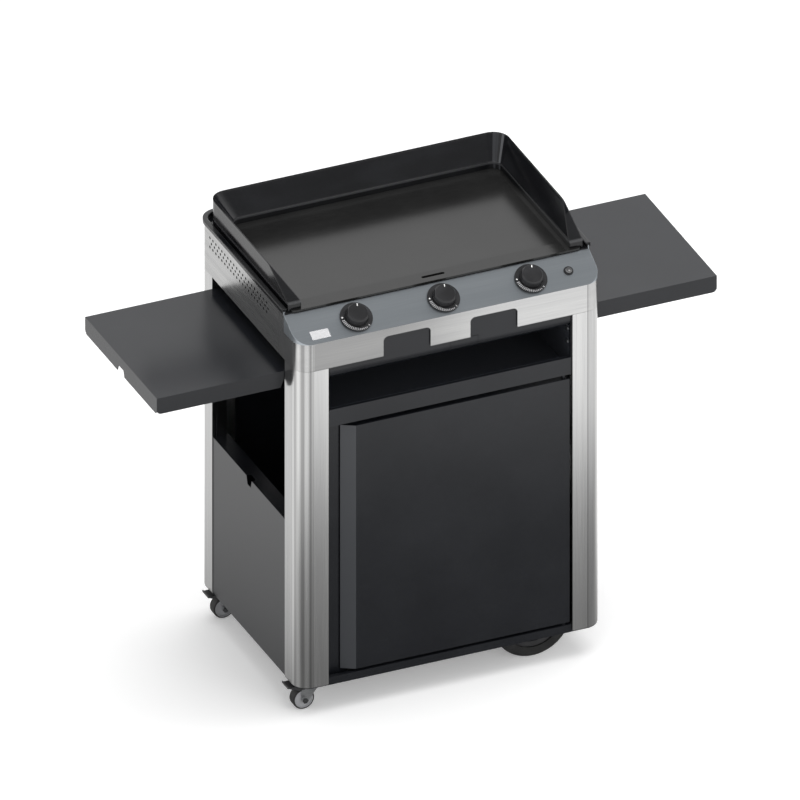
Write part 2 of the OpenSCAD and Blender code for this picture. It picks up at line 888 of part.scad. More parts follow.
module spark_electrodes() {
    color(ceramic) for (x = knob_xs) translate([x + burner_r + electrode_side, 0, burner_z]) {
        rod_y(electrode_r, firebox_y0 + sheet_t, firebox_y0 + electrode_l);
        rod_y(electrode_r * tip_share, firebox_y0 + electrode_l, firebox_y0 + electrode_l * 2 - sheet_t);
    }
}

// Flat outline that is open to the front, with rounded back corners
module open_plan(half_w, back, r) {
    translate([0, back - far / 2]) rrect(2 * half_w, far, r);
}

module plate_plan(extra) {
    intersection() {
        open_plan(plate_x + extra, plate_back + extra, corner_r - plate_in + extra);
        translate([0, plate_front + far / 2]) rrect(2 * (plate_x + extra), far, plate_front_r);
    }
}

// Cooking face of the plate, inside the rebate that the splash guard stands in
module cooking_plan() {
    translate([-hw, -hd]) square([body_w, guard_front - seat_play]);
    open_plan(guard_x - splash_side - seat_play, guard_y1 - splash_back - seat_play, foot_r - seat_play, $fn = 32);
}

module griddle_plate() {
    color(satin) translate([0, 0, plate_z]) difference() {
        union() {
            linear_extrude(plate_t - seat_t) plate_plan(0);
            linear_extrude(plate_t) intersection() {
                plate_plan(0);
                cooking_plan();
            }
        }
        intersection() {
            linear_extrude(2 * plate_t) cooking_plan();
            along_x(body_w) polygon([
                [plate_front + fall_w, plate_t],
                [plate_front + fall_w, plate_t + over],
                [plate_front - over, plate_t + over],
                [plate_front - over, plate_t - fall_h]]);
        }
        translate([0, slot_y, -over]) {
            translate([-slot_l / 2 + slot_w / 2, -slot_w / 2, 0]) cube([slot_l - slot_w, slot_w, plate_t + 2 * over]);
            for (s = [-1, 1]) translate([s * (slot_l - slot_w) / 2, 0, 0])
                cylinder(r = slot_w / 2, h = plate_t + 2 * over, $fn = 32);
        }
    }
}

// Splash guard: a hollow wedge of sheet round three sides, cut down at the front ends
module guard_side_view(inset) {
    guard_y = -hd + guard_front + inset;
    low_z = plate_top + guard_low - inset;
    top_z = guard_top - inset;
    break_y = -hd + guard_break;
    slope_end = atan((top_z - low_z) / (break_y - guard_y));
    bend_y = break_y + guard_bend_r * tan(slope_end / 2);
    front_edge = [[guard_y, plate_z - 4 * inset], [guard_y, low_z]];
    back_edge = [[hd, top_z], [hd, plate_z - 4 * inset]];
    bend = [for (i = [0:bend_steps]) let (turn = slope_end * (bend_steps - i) / bend_steps)
        [bend_y - guard_bend_r * sin(turn), top_z - guard_bend_r * (1 - cos(turn))]];
    polygon(concat(front_edge, bend, back_edge));
}

module funnel(grow) {
    foot_x = guard_x - splash_side + grow;
    foot_back = guard_y1 - splash_back + grow;
    foot_top = plate_top + foot_h;
    hull() {
        translate([0, 0, foot_top - skin]) linear_extrude(skin) open_plan(foot_x, foot_back, foot_r + grow, $fn = 32);
        translate([0, 0, guard_top]) linear_extrude(skin)
            open_plan(guard_x - guard_t + grow, guard_y1 - guard_t + grow, corner_r - guard_t + grow, $fn = 32);
    }
    translate([0, 0, plate_z - over]) linear_extrude(foot_top - plate_z + over - skin / 2)
        open_plan(foot_x, foot_back, foot_r + grow, $fn = 32);
}

module splash_guard() {
    color(enamel) difference() {
        intersection() {
            along_x(body_w) guard_side_view(0);
            translate([0, 0, plate_z]) linear_extrude(guard_top) open_plan(guard_x, guard_y1, corner_r);
        }
        funnel(0);
        difference() {
            intersection() {
                along_x(body_w) guard_side_view(guard_t);
                translate([0, 0, plate_z - over]) linear_extrude(guard_top)
                    open_plan(guard_x - guard_t, guard_y1 - guard_t, corner_r - guard_t);
            }
            funnel(guard_t);
        }
        translate([0, 0, plate_z - over]) linear_extrude(plate_t - seat_t + over) plate_plan(lay_gap);
    }
}

// Grease path: a funnel under the drain slot, its downpipe and the sliding tray
module grease_chute() {
    chute_x0 = -slot_l / 2 - rail_inset;
    chute_x1 = tray_x + pipe_w / 2;
    chute_t = sheet_t / 2;
    color(zinc) difference() {
        union() {
            block([chute_x0, chute_y0, trough_z], [chute_x1, chute_y1, plate_z]);
            block([tray_x - pipe_w / 2, chute_y0, head_z - over], [chute_x1, chute_y1, plate_z]);
        }
        block([chute_x0 + chute_t, chute_y0 + chute_t, trough_z + chute_t],
            [chute_x1 - chute_t, chute_y1 - chute_t, plate_z + over]);
        block([tray_x - pipe_w / 2 + chute_t, chute_y0 + chute_t, head_z - 2 * over],
            [chute_x1 - chute_t, chute_y1 - chute_t, plate_z]);
    }
}

module grease_rails() {
    rail_y0 = panel_y + rail_fold;
    web_x = tray_w / 2 + tray_lip + lay_gap;
    color(zinc) for (s = [0, 1]) translate([tray_x, 0, 0]) mirror([s, 0, 0]) {
        block([web_x, rail_y0, lip_z - sheet_t], [web_x + sheet_t, rail_y0 + tray_l, shield_z]);
        block([tray_w / 2 + lay_gap, rail_y0, lip_z - sheet_t], [web_x + sheet_t, rail_y0 + tray_l, lip_z]);
    }
}

module grease_tray() {
    tray_half = tray_w / 2;
    tray_floor = lip_z + sheet_t - tray_h;
    color(zinc) translate([tray_x, tray_y0, 0]) difference() {
        union() {
            block([-tray_half, 0, tray_floor], [tray_half, tray_l, lip_z + sheet_t]);
            block([-tray_half - tray_lip, 0, lip_z], [tray_half + tray_lip, tray_l, lip_z + sheet_t]);
            block([-tray_half / 2, -rail_fold, lip_z], [tray_half / 2, over, lip_z + sheet_t]);
        }
        block([-tray_half + sheet_t, sheet_t, tray_floor + sheet_t],
            [tray_half - sheet_t, tray_l - sheet_t, lip_z + double]);
    }
}

// Door: a folded front with a slanting grip strip, and a flat liner
module door_plan(s) {
    lean = atan(grip_strip_d / grip_strip_w);
    polygon([[door_x0 + s, front_y + grip_strip_d + s / cos(lean) - s * tan(lean)],
        [door_x0 + grip_strip_w + s * tan(lean / 2), front_y + s],
        [door_x1 - s, front_y + s], [door_x1 - s, door_back + s], [door_x0 + s, door_back + s]]);
}

module door_panel() {
    color(coat) difference() {
        union() {
            difference() {
                translate([0, 0, door_z0]) linear_extrude(door_z1 - door_z0) door_plan(0);
                translate([0, 0, door_z0 + door_sheet])
                    linear_extrude(door_z1 - door_z0 - 2 * door_sheet) door_plan(door_sheet);
            }
            for (z = [door_z0, door_z1 - pin_depth - frame_t]) translate([hinge_x, hinge_y, z])
                cylinder(r = hinge_boss_r, h = pin_depth + frame_t);
        }
        translate([hinge_x, hinge_y, door_z0 - over]) cylinder(r = hinge_r + run_fit, h = pin_depth + frame_t);
        translate([hinge_x, hinge_y, door_z1 - pin_depth - over])
            cylinder(r = hinge_r + run_fit, h = pin_depth + 2 * over);
    }
}

module door_liner() {
    color(coat) block([door_x0 + frame_t, door_back - door_sheet, door_z0 + door_sheet],
        [door_x1 - door_sheet, door_back, door_z1 - door_sheet]);
}

module door_hinge_pins() {
    color(zinc) translate([hinge_x, hinge_y, 0]) {
        translate([0, 0, deck_z]) cylinder(r = hinge_r, h = door_z0 + pin_depth - over - deck_z);
        translate([0, 0, deck_z + deck_rail])
            cylinder(r = hinge_boss_r - frame_t, h = door_foot - deck_rail - lay_gap);
        translate([0, 0, door_z1 - pin_depth + over])
            cylinder(r = hinge_r, h = mid_z - door_z1 + pin_depth + sheet_t - over);
        translate([0, 0, mid_z + sheet_t]) cylinder(r = hinge_boss_r - frame_t, h = frame_t);
    }
}

module door_magnet() {
    color(black) block([door_x0 + frame_t, door_back, magnet_z],
        [door_x0 + magnet_w - frame_t, jamb_y, magnet_z + magnet_l]);
}

// Side shelf of the left side, level: a folded tray with an ear at each hinge pin
module shelf_side_view() {
    low = shelf_z - shelf_h;
    x0 = -hw - over - shelf_l;
    x1 = -hw - over;
    translate([x0 + shelf_r, low]) square([shelf_l - shelf_r - shelf_cut, shelf_h]);
    translate([x0, low + shelf_r]) square([shelf_l - shelf_cut, shelf_h - shelf_r]);
    translate([x0 + shelf_r, low + shelf_r]) circle(shelf_r);
    polygon([[x1 - shelf_cut - over, low], [x1 - shelf_cut, low], [x1, shelf_pin_z], [x1, shelf_z],
        [x1 - shelf_cut - over, shelf_z]]);
    translate([x1 - over, shelf_z - shelf_ear]) square([-shelf_in_x - x1 + over, shelf_ear]);
    translate([-shelf_pin_x, shelf_pin_z]) circle(shelf_ear);
}

module shelf_end_view() {
    low = shelf_z - shelf_h;
    translate([-shelf_y, low + shelf_r]) square([2 * shelf_y, shelf_h - shelf_r]);
    translate([-shelf_y + shelf_r, low]) square([2 * (shelf_y - shelf_r), shelf_h]);
    for (s = [-1, 1]) translate([s * (shelf_y - shelf_r), low + shelf_r]) circle(shelf_r);
}

module shelf() {
    x0 = -hw - over - shelf_l;
    low = shelf_z - shelf_h;
    color(coat) difference() {
        union() {
            block([x0, -shelf_y, shelf_z - sheet_t], [-shelf_in_x, shelf_y, shelf_z]);
            for (s = [0, 1]) mirror([0, s, 0]) {
                along_y(-shelf_y, -shelf_y + sheet_t) shelf_side_view();
                block([x0 + shelf_r, -shelf_y, low], [-hw - shelf_r, -shelf_y + shelf_hem, low + sheet_t]);
            }
            translate([x0 + sheet_t / 2, 0, 0]) along_x(sheet_t) shelf_end_view();
            block([-shelf_in_x - sheet_t, -shelf_y, shelf_z - shelf_ear], [-shelf_in_x, shelf_y, shelf_z]);
        }
        translate([-shelf_pin_x, 0, shelf_pin_z]) rod_y(shelf_pin_r + run_fit, -hd, hd);
        translate([x0, 0, low]) along_x(2 * double) polygon([
            [-grab_w / 2, -over], [-grab_w / 2, 0], [-grab_w * grab_share / 2, grab_h],
            [grab_w * grab_share / 2, grab_h], [grab_w / 2, 0], [grab_w / 2, -over]]);
    }
}

module shelf_hinge_pins() {
    color(zinc) four_corners() translate([-shelf_pin_x, 0, shelf_pin_z]) {
        rod_y(shelf_pin_r, -opening_y - double, -shelf_y + double);
        rod_y(shelf_pin_r * 2, -opening_y - double, -opening_y - sheet_t);
        rod_y(shelf_pin_r * 2, -opening_y, -shelf_y);
    }
}

// Swivel castors of the left side
module castor_place(s) {
    translate([-castor_x, s * castor_y, 0]) children();
}

module castor_heads() {
    head_low = deck_low - castor_plate_t - castor_head_h;
    color(zinc) for (s = [-1, 1]) castor_place(s) difference() {
        union() {
            translate([-castor_plate / 2, -castor_plate / 2, deck_low - castor_plate_t])
                cube([castor_plate, castor_plate, castor_plate_t]);
            translate([0, 0, head_low]) cylinder(r = castor_head_r, h = castor_head_h);
            for (sx = [-1, 1], sy = [-1, 1]) translate([sx, sy, 0] * (castor_plate / 2 - bolt_inset))
                translate([0, 0, deck_low - castor_plate_t - frame_t]) cylinder(r = bolt_r, h = frame_t, $fn = 24);
        }
        translate([0, 0, head_low - over]) cylinder(r = kingpin_r + run_fit, h = kingpin_h + over);
    }
}

module fork_side() {
    cheek_x = -castor_trail + cheek_set;
    translate([cheek_x, castor_r]) circle(cheek_r);
    polygon([[cheek_x - cheek_r, castor_r], [cheek_x - cheek_r, crown_z + crown_t],
        [crown_reach, crown_z + crown_t], [crown_reach, crown_z], [cheek_x + cheek_r, castor_r]]);
}

module castor_fork(s) {
    inner = castor_w / 2 + fork_gap;
    color(zinc) castor_place(s) difference() {
        union() {
            for (m = [0, 1]) mirror([0, m, 0]) along_y(inner, inner + fork_t) fork_side();
            block([-castor_trail - rail_fold, -inner - fork_t, crown_z], [crown_reach, inner + fork_t, crown_z + crown_t]);
            translate([0, 0, crown_z]) cylinder(r = castor_head_r - frame_t, h = crown_t);
            translate([0, 0, crown_z]) cylinder(r = kingpin_r, h = crown_t + kingpin_h - lay_gap);
        }
        translate([-castor_trail, 0, castor_r]) rod_y(castor_axle_r + run_fit, -far, far);
        translate([pedal_x, 0, pedal_z]) rod_y(pedal_pin_r + run_fit, -far, far);
    }
}

module castor_axle(s) {
    inner = castor_w / 2 + fork_gap + fork_t;
    color(zinc) castor_place(s) translate([-castor_trail, 0, castor_r]) {
        rod_y(castor_axle_r, -inner, inner);
        for (m = [0, 1]) mirror([0, m, 0]) rod_y(castor_axle_r + frame_t, inner, inner + frame_t);
    }
}

// Disc of a castor wheel with a sunken face on both sides
module castor_wheel(s) {
    color(zinc) castor_place(s) translate([-castor_trail, 0, castor_r]) difference() {
        rod_y(castor_hub_r, -castor_w / 2, castor_w / 2);
        rod_y(castor_axle_r + run_fit, -far, far);
        for (m = [0, 1]) mirror([0, m, 0]) difference() {
            rod_y(castor_hub_r - frame_t, castor_w / 2 - frame_t, castor_w / 2 + over);
            rod_y(castor_axle_r + frame_t, 0, castor_w);
        }
    }
}

// Ring with rounded shoulders, standing on the axle
module tyre(r0, r1, w, shoulder) {
    rotate([90, 0, 0]) rotate_extrude($fn = 72) {
        translate([r0, -w / 2]) square([r1 - r0 - shoulder, w]);
        translate([r0, -w / 2 + shoulder]) square([r1 - r0, w - 2 * shoulder]);
        for (m = [-1, 1]) translate([r1 - shoulder, m * (w / 2 - shoulder)]) circle(shoulder, $fn = 24);
    }
}

module castor_tyre(s) {
    color(rubber) castor_place(s) translate([-castor_trail, 0, castor_r])
        tyre(castor_hub_r, castor_r, castor_w, (castor_r - castor_hub_r) * half);
}

module brake_pedal(s) {
    arm = castor_w / 2 + fork_gap + fork_t + lay_gap;
    color(black) castor_place(s) {
        translate([pedal_x, 0, pedal_z]) rod_y(pedal_pin_r, -arm - over, arm + over);
        for (m = [0, 1]) mirror([0, m, 0]) along_y(arm, arm + sheet_t) polygon([
            [pedal_x + rail_inset, pedal_z - rail_inset / 2], [pedal_x + rail_inset, pedal_z + rail_inset / 2],
            [pedal_x - pedal_arm, pedal_top], [-pedal_reach, pedal_top], [-pedal_reach, pedal_top - frame_t],
            [pedal_x - pedal_arm, pedal_z - rail_inset / 2]]);
        block([-pedal_reach, -arm - sheet_t, pedal_top - frame_t], [pedal_x - pedal_arm, arm + sheet_t, pedal_top]);
        block([-pedal_reach - frame_t, -arm - sheet_t, pedal_top - frame_t], [-pedal_reach, arm + sheet_t, pedal_top + pedal_lip]);
    }
}

// Fixed wheels of the right side
module axle_rod() {
    color(zinc) translate([wheel_x, 0, wheel_r])
        rod_y(axle_r, -wheel_y - housing_half - rail_inset, wheel_y + housing_half + rail_inset);
}

module axle_collars() {
    side = wheel_w / 2;
    color(zinc) for (s = [-1, 1], m = [0, 1]) translate([wheel_x, s * wheel_y, wheel_r]) mirror([0, m, 0]) difference() {
        rod_y(axle_r + frame_t * 2, side + lay_gap, housing_half - frame_t);
        rod_y(axle_r + run_fit, 0, housing_half);
    }
}

module large_wheel(s) {
    rim_r = wheel_r * tyre_share;
    rim_in = rim_r * rim_share;
    color(black) translate([wheel_x, s * wheel_y, wheel_r]) difference() {
        union() {
            rod_y(hub_r, -wheel_w / 2, wheel_w / 2);
            difference() {
                rod_y(rim_r, -rim_half, rim_half);
                rod_y(rim_in, -wheel_w, wheel_w);
            }
            for (a = [0 : spoke_step : 359]) rotate([0, a, 0])
                translate([-spoke_w / 2, -spoke_w / 2, 0]) cube([spoke_w, spoke_w, (rim_r + rim_in) / 2]);
        }
        rod_y(axle_r + run_fit, -wheel_w, wheel_w);
    }
}

module large_tyre(s) {
    color(rubber) translate([wheel_x, s * wheel_y, wheel_r])
        tyre(wheel_r * tyre_share, wheel_r, wheel_w, wheel_w * shoulder_share);
}

// From the body's middle to the middle of the whole, which the gas inlet makes deeper
module placed() {
    translate([0, -gland_l / 2, 0]) children();
}

placed() corner_posts();
placed() side_panel();  // side_panel_left
placed() mirror([1, 0, 0]) side_panel();  // side_panel_right
placed() back_panel();
placed() base_tray();
placed() wheel_housings();
placed() mid_shelf();
placed() door_jamb();
placed() body_shell();
placed() control_fascia();
placed() top_frame();
placed() firebox();
placed() heat_shield();
placed() burners();
placed() gas_manifold();
placed() gas_valves();
placed() spark_electrodes();
placed() igniter_housing();
placed() knob_rings();
placed() griddle_plate();
placed() splash_guard();
placed() grease_chute();
placed() grease_rails();
placed() door_hinge_pins();
placed() door_magnet();
placed() shelf_hinge_pins();
placed() post_screws();
placed() castor_heads();
placed() axle_rod();
placed() axle_collars();
placed() valve_stem(0);  // valve_stem_left
placed() valve_stem(1);  // valve_stem_centre
placed() valve_stem(2);  // valve_stem_right
placed() knob(0);  // knob_left
placed() knob(1);  // knob_centre
placed() knob(2);  // knob_right
placed() igniter_button();
placed() grease_tray();
placed() door_panel();
placed() door_liner();
placed() shelf();  // shelf_left
placed() mirror([1, 0, 0]) shelf();  // shelf_right
placed() castor_fork(-1);  // castor_fork_front
placed() castor_fork(1);  // castor_fork_rear
placed() castor_wheel(-1);  // castor_wheel_front
placed() castor_wheel(1);  // castor_wheel_rear
placed() castor_tyre(-1);  // castor_tyre_front
placed() castor_tyre(1);  // castor_tyre_rear
placed() castor_axle(-1);  // castor_axle_front
placed() castor_axle(1);  // castor_axle_rear
placed() brake_pedal(-1);  // brake_pedal_front
placed() brake_pedal(1);  // brake_pedal_rear
placed() large_wheel(-1);  // large_wheel_front
placed() large_wheel(1);  // large_wheel_rear
placed() large_tyre(-1);  // large_tyre_front
placed() large_tyre(1);  // large_tyre_rear
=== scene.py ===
import math
import bpy
import bmesh
from mathutils import Matrix, Vector


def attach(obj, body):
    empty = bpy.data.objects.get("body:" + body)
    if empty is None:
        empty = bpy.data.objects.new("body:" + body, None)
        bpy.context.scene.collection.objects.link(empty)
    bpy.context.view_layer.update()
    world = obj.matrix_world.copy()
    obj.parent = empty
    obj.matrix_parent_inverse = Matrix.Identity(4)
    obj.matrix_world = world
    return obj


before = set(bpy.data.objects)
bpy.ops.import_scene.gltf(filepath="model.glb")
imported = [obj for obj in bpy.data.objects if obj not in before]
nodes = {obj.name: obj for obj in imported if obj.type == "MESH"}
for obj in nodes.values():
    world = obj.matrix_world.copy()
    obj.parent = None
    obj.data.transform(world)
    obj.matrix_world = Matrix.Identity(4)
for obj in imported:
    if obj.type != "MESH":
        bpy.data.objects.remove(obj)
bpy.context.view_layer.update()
print("frame loaded:", len(nodes), "nodes")

bodyShift = -0.0085  # from the frame's origin to the middle of the cart body, along Y
panelSlope = math.atan(42 / 77)  # slope of the control panel, from its rise and its depth
quarterTurn = math.pi / 2

cameraSettings = dict(turn=23.7, drop=30.08, across=1.729, distance=12.0, clip=(0.1, 60),
                      aim=(0.0, bodyShift, 0.592), aimPixel=(400.96, 393.56), picture=800)


def placeCamera(s):
    # parallel view in which the aim lies at its pixel
    turn, drop = math.radians(s["turn"]), math.radians(s["drop"])
    forward = Vector((math.sin(turn) * math.cos(drop), math.cos(turn) * math.cos(drop), -math.sin(drop)))
    data = bpy.data.cameras.new("photoCamera")
    data.type = "ORTHO"
    data.ortho_scale = s["across"]
    data.clip_start, data.clip_end = s["clip"]
    camera = bpy.data.objects.new("photoCamera", data)
    bpy.context.scene.collection.objects.link(camera)
    turned = forward.to_track_quat("-Z", "Y")
    camera.rotation_mode = "QUATERNION"
    camera.rotation_quaternion = turned
    right, up = turned @ Vector((1, 0, 0)), turned @ Vector((0, 1, 0))
    perPixel = s["across"] / s["picture"]
    middle = s["picture"] / 2
    offX = (s["aimPixel"][0] - middle) * perPixel
    offY = (middle - s["aimPixel"][1]) * perPixel
    camera.location = Vector(s["aim"]) - right * offX - up * offY - forward * s["distance"]
    bpy.context.scene.camera = camera


placeCamera(cameraSettings)
print("camera placed")


class Wire:
    # a socket that can be used in plain sums
    def __init__(self, owner, socket):
        self.owner, self.socket = owner, socket

    def maths(self, operation, *values):
        step = self.owner.add("ShaderNodeMath", dict(operation=operation), dict(enumerate(values)))
        return self.owner.wire(step)

    def __add__(self, other):
        return self.maths("ADD", self, other)

    __radd__ = __add__

    def __sub__(self, other):
        return self.maths("SUBTRACT", self, other)

    def __rsub__(self, other):
        return self.maths("SUBTRACT", other, self)

    def __mul__(self, other):
        return self.maths("MULTIPLY", self, other)

    __rmul__ = __mul__

    def __truediv__(self, other):
        return self.maths("DIVIDE", self, other)

    def __rtruediv__(self, other):
        return self.maths("DIVIDE", other, self)

    def __pow__(self, other):
        return self.maths("POWER", self, other)

    def __rpow__(self, other):
        return self.maths("POWER", other, self)

    def __neg__(self):
        return self.maths("MULTIPLY", self, -1)

    def size(self):
        return self.maths("ABSOLUTE", self)

    def most(self, other):
        return self.maths("MAXIMUM", self, other)

    def sine(self):
        return self.maths("SINE", self)

    def angleOver(self, other):
        # the angle whose height is this and whose base is the other
        return self.maths("ARCTAN2", self, other)

    def between(self, low, high):
        # 0 below low, 1 above high, smooth between
        step = self.owner.add("ShaderNodeMapRange", dict(interpolation_type="SMOOTHSTEP", clamp=True),
                              {"Value": self, "From Min": low, "From Max": high})
        return self.owner.wire(step)


class Finish:
    # one material and its nodes
    def __init__(self, name):
        self.material = bpy.data.materials.new(name)
        self.begin(self.material, "ShaderNodeOutputMaterial", "Object")

    def begin(self, holder, outKind, coords):
        holder.use_nodes = True
        self.tree = holder.node_tree
        self.tree.nodes.clear()
        self.out = self.tree.nodes.new(outKind)
        self.place = self.wire(self.add("ShaderNodeTexCoord"), coords)

    def add(self, kind, settings=None, sockets=None):
        step = self.tree.nodes.new(kind)
        for key, value in (settings or {}).items():
            if key == "stops":
                ramp = step.color_ramp
                while len(ramp.elements) < len(value):
                    ramp.elements.new(0.5)
                for element, (at, colour) in zip(ramp.elements, value):
                    element.position = at
                    element.color = (*colour, 1)
            else:
                setattr(step, key, value)
        for key, value in (sockets or {}).items():
            socket = step.inputs[key]
            if isinstance(value, Wire):
                self.tree.links.new(value.socket, socket)
            elif socket.type == "RGBA":
                socket.default_value = (*value, 1)
            else:
                socket.default_value = value
        return step

    def wire(self, step, output=0):
        return Wire(self, step.outputs[output])

    def part(self, vector, letter):
        return self.wire(self.add("ShaderNodeSeparateXYZ", None, {"Vector": vector}), letter)

    def axis(self, letter):
        return self.part(self.place, letter)

    def facing(self, letter):
        # how far the surface faces along one of the object's own axes
        return self.part(self.wire(self.add("ShaderNodeTexCoord"), "Normal"), letter)

    def ramp(self, share, greys):
        stops = [(at, (grey, grey, grey)) for at, grey in greys]
        return self.wire(self.add("ShaderNodeValToRGB", dict(stops=stops), {"Fac": share}))

    def rounded(self, radius, samples=6):
        return self.wire(self.add("ShaderNodeBevel", dict(samples=samples), {"Radius": radius}))

    def noise(self, scale, detail, rough, stretch=(1, 1, 1)):
        spread = self.add("ShaderNodeMapping", None, {"Vector": self.place, "Scale": stretch})
        cloud = self.add("ShaderNodeTexNoise", None,
                         {"Vector": self.wire(spread), "Scale": scale, "Detail": detail, "Roughness": rough})
        return self.wire(cloud)

    def mixColours(self, share, first, second, blend="MIX"):
        step = self.add("ShaderNodeMix", dict(data_type="RGBA", blend_type=blend),
                        {0: share, 6: first, 7: second})
        return self.wire(step, 2)

    def tones(self, share, s):
        return self.mixColours(share.between(*s["fade"]), s["dark"], s["light"])

    def bump(self, height, s, under=None):
        sockets = {"Height": height, "Strength": s["relief"], "Distance": s["reliefDepth"]}
        if under is not None:
            sockets["Normal"] = under
        return self.wire(self.add("ShaderNodeBump", None, sockets))

    def glow(self, kind, colour, strength):
        return self.wire(self.add(kind, None, {"Color": colour, "Strength": strength}))

    def either(self, share, first, second):
        # the first shader where the share is 0, the second where it is 1
        return self.wire(self.add("ShaderNodeMixShader", None, {0: share, 1: first, 2: second}))

    def show(self, shader):
        self.tree.links.new(shader.socket, self.out.inputs["Surface"])

    def surface(self, sockets):
        self.show(self.wire(self.add("ShaderNodeBsdfPrincipled", None, sockets)))
        return self.material


# in the settings below a noise is given as its scale, detail, roughness and stretch,
# and a fade as where it starts and where it is complete

# painted light: the ramps darken the flat sides as painted shade and lay painted reflection bands round the
# corners
paintedCornerSettings = dict(sideX=0.322, frontY=0.229, aboveZero=0.000001, middle=(-0.001, 0.001),
                      left=[(0.0, 0.74), (0.03, 0.70), (0.08, 0.72), (0.14, 0.95), (0.25, 0.50), (0.33, 0.82),
                            (0.39, 1.0), (0.45, 0.92), (0.53, 0.52), (0.61, 0.50), (0.67, 0.86), (0.77, 0.90),
                            (0.86, 0.42), (0.94, 0.78), (0.99, 0.70), (1.0, 1.0)],
                      right=[(0.0, 0.95), (0.2, 0.9), (0.45, 0.98), (0.62, 0.80), (0.78, 0.88), (0.93, 0.84),
                             (0.975, 0.48), (1.0, 1.0)])


def paintedCornerLight(f, s):
    # painted shade on the flat sides and painted reflection bands round the upright corners, by the angle round
    # each corner
    x, y = f.axis("X"), f.axis("Y") - bodyShift
    ahead = (y.size() - s["frontY"]).most(0)
    aside = (x.size() - s["sideX"]).most(0)
    turn = (ahead + s["aboveZero"]).angleOver(aside) / quarterTurn
    return f.mixColours(x.between(*s["middle"]), f.ramp(turn, s["left"]), f.ramp(turn, s["right"]))


brushBase = dict(stretch=(1, 1, 1), fineDetail=(4, 0.6), broadDetail=(3, 0.5), broadScale=0.06,
                 fineShare=0.45, broadShare=0.75, fade=(0.35, 0.85), reliefDepth=0.0002)


def brushed(name, s):
    # brushed or plated metal; "corners" adds painted shade on the sides and painted reflection bands round the
    # corners
    f = Finish(name)
    fine = f.noise(s["grain"], *s["fineDetail"], s["stretch"])
    broad = f.noise(s["grain"] * s["broadScale"], *s["broadDetail"], s["stretch"])
    colour = f.tones(fine * s["fineShare"] + broad * s["broadShare"], s)
    # painted shade on the sides and painted reflections round the corners
    if "corners" in s:
        colour = f.mixColours(1.0, colour, paintedCornerLight(f, s["corners"]), "MULTIPLY")
    return f.surface({"Base Color": colour, "Metallic": 1.0,
                      "Roughness": fine * s["roughSpread"] + s["rough"], "Normal": f.bump(fine, s)})


steelPosts = brushed("steelPosts", dict(brushBase, corners=paintedCornerSettings, grain=620, stretch=(1, 1, 0.012),
                                        dark=(0.68, 0.68, 0.68), light=(0.88, 0.88, 0.87),
                                        rough=0.20, roughSpread=0.10, relief=0.08))
steelShell = brushed("steelShell", dict(brushBase, corners=paintedCornerSettings, grain=620, stretch=(0.012, 0.012, 1),
                                        dark=(0.58, 0.58, 0.58), light=(0.76, 0.76, 0.75),
                                        rough=0.22, roughSpread=0.12, relief=0.08))
zincPlate = brushed("zincPlate", dict(brushBase, grain=300, dark=(0.42, 0.43, 0.44), light=(0.66, 0.67, 0.68),
                                      rough=0.28, roughSpread=0.22, relief=0.08))
heatSteel = brushed("heatSteel", dict(brushBase, grain=90, dark=(0.30, 0.27, 0.24), light=(0.55, 0.54, 0.52),
                                      rough=0.34, roughSpread=0.22, relief=0.06))
brassTurned = brushed("brassTurned", dict(brushBase, grain=420, dark=(0.52, 0.36, 0.14),
                                          light=(0.78, 0.60, 0.28), rough=0.20, roughSpread=0.18, relief=0.05))

coatSettings = dict(dark=(0.0088, 0.0098, 0.0125), light=(0.0128, 0.0140, 0.0172), fade=(0.3, 0.75),
                    speck=(0.040, 0.040, 0.043), specks=(620, 1, 0.5), speckFade=(0.64, 0.74), speckShare=0.25,
                    grit=(1500, 2, 0.5), peel=(420, 2, 0.5), dust=(5, 4, 0.6),
                    rough=0.20, roughDust=0.05, roughGrit=0.06,
                    gritShare=0.4, peelShare=0.6, relief=0.10, reliefDepth=0.00012,
                    railFade=(-0.264, -0.258), stripAside=(0.12, 0.25), stripAhead=(0.2, 0.4))


def powder(name, s):
    # smooth semi-gloss powder coat with a fine orange peel; the inside gets a paler tone behind the front rail,
    # painted light inside the cabinet, and the slanting grip strip a lighter tone, painted light by the way it
    # faces
    f = Finish(name)
    grit, peel, dust = f.noise(*s["grit"]), f.noise(*s["peel"]), f.noise(*s["dust"])
    specks = f.noise(*s["specks"]).between(*s["speckFade"])
    colour = f.mixColours(specks * s["speckShare"], f.tones(dust, s), s["speck"])
    if "inside" in s:
        # paler tone behind the front rail: painted light inside the cabinet
        colour = f.mixColours(f.axis("Y").between(*s["railFade"]), colour, s["inside"])
    if "paintedSlantLight" in s:
        # lighter tone on faces turned to the front and left: painted light on the grip strip
        slantLightMask = (-f.facing("X")).between(*s["stripAside"]) * (-f.facing("Y")).between(*s["stripAhead"])
        colour = f.mixColours(slantLightMask, colour, s["paintedSlantLight"])
    rough = dust * s["roughDust"] + grit * s["roughGrit"] + s["rough"]
    relief = f.bump(grit * s["gritShare"] + peel * s["peelShare"], s)
    return f.surface({"Base Color": colour, "Roughness": rough, "Normal": relief})


coatDark = powder("coatDark", coatSettings)
coatInside = powder("coatInside", dict(coatSettings, inside=(0.052, 0.056, 0.066)))
coatDoor = powder("coatDoor", dict(coatSettings, paintedSlantLight=(0.050, 0.053, 0.059)))

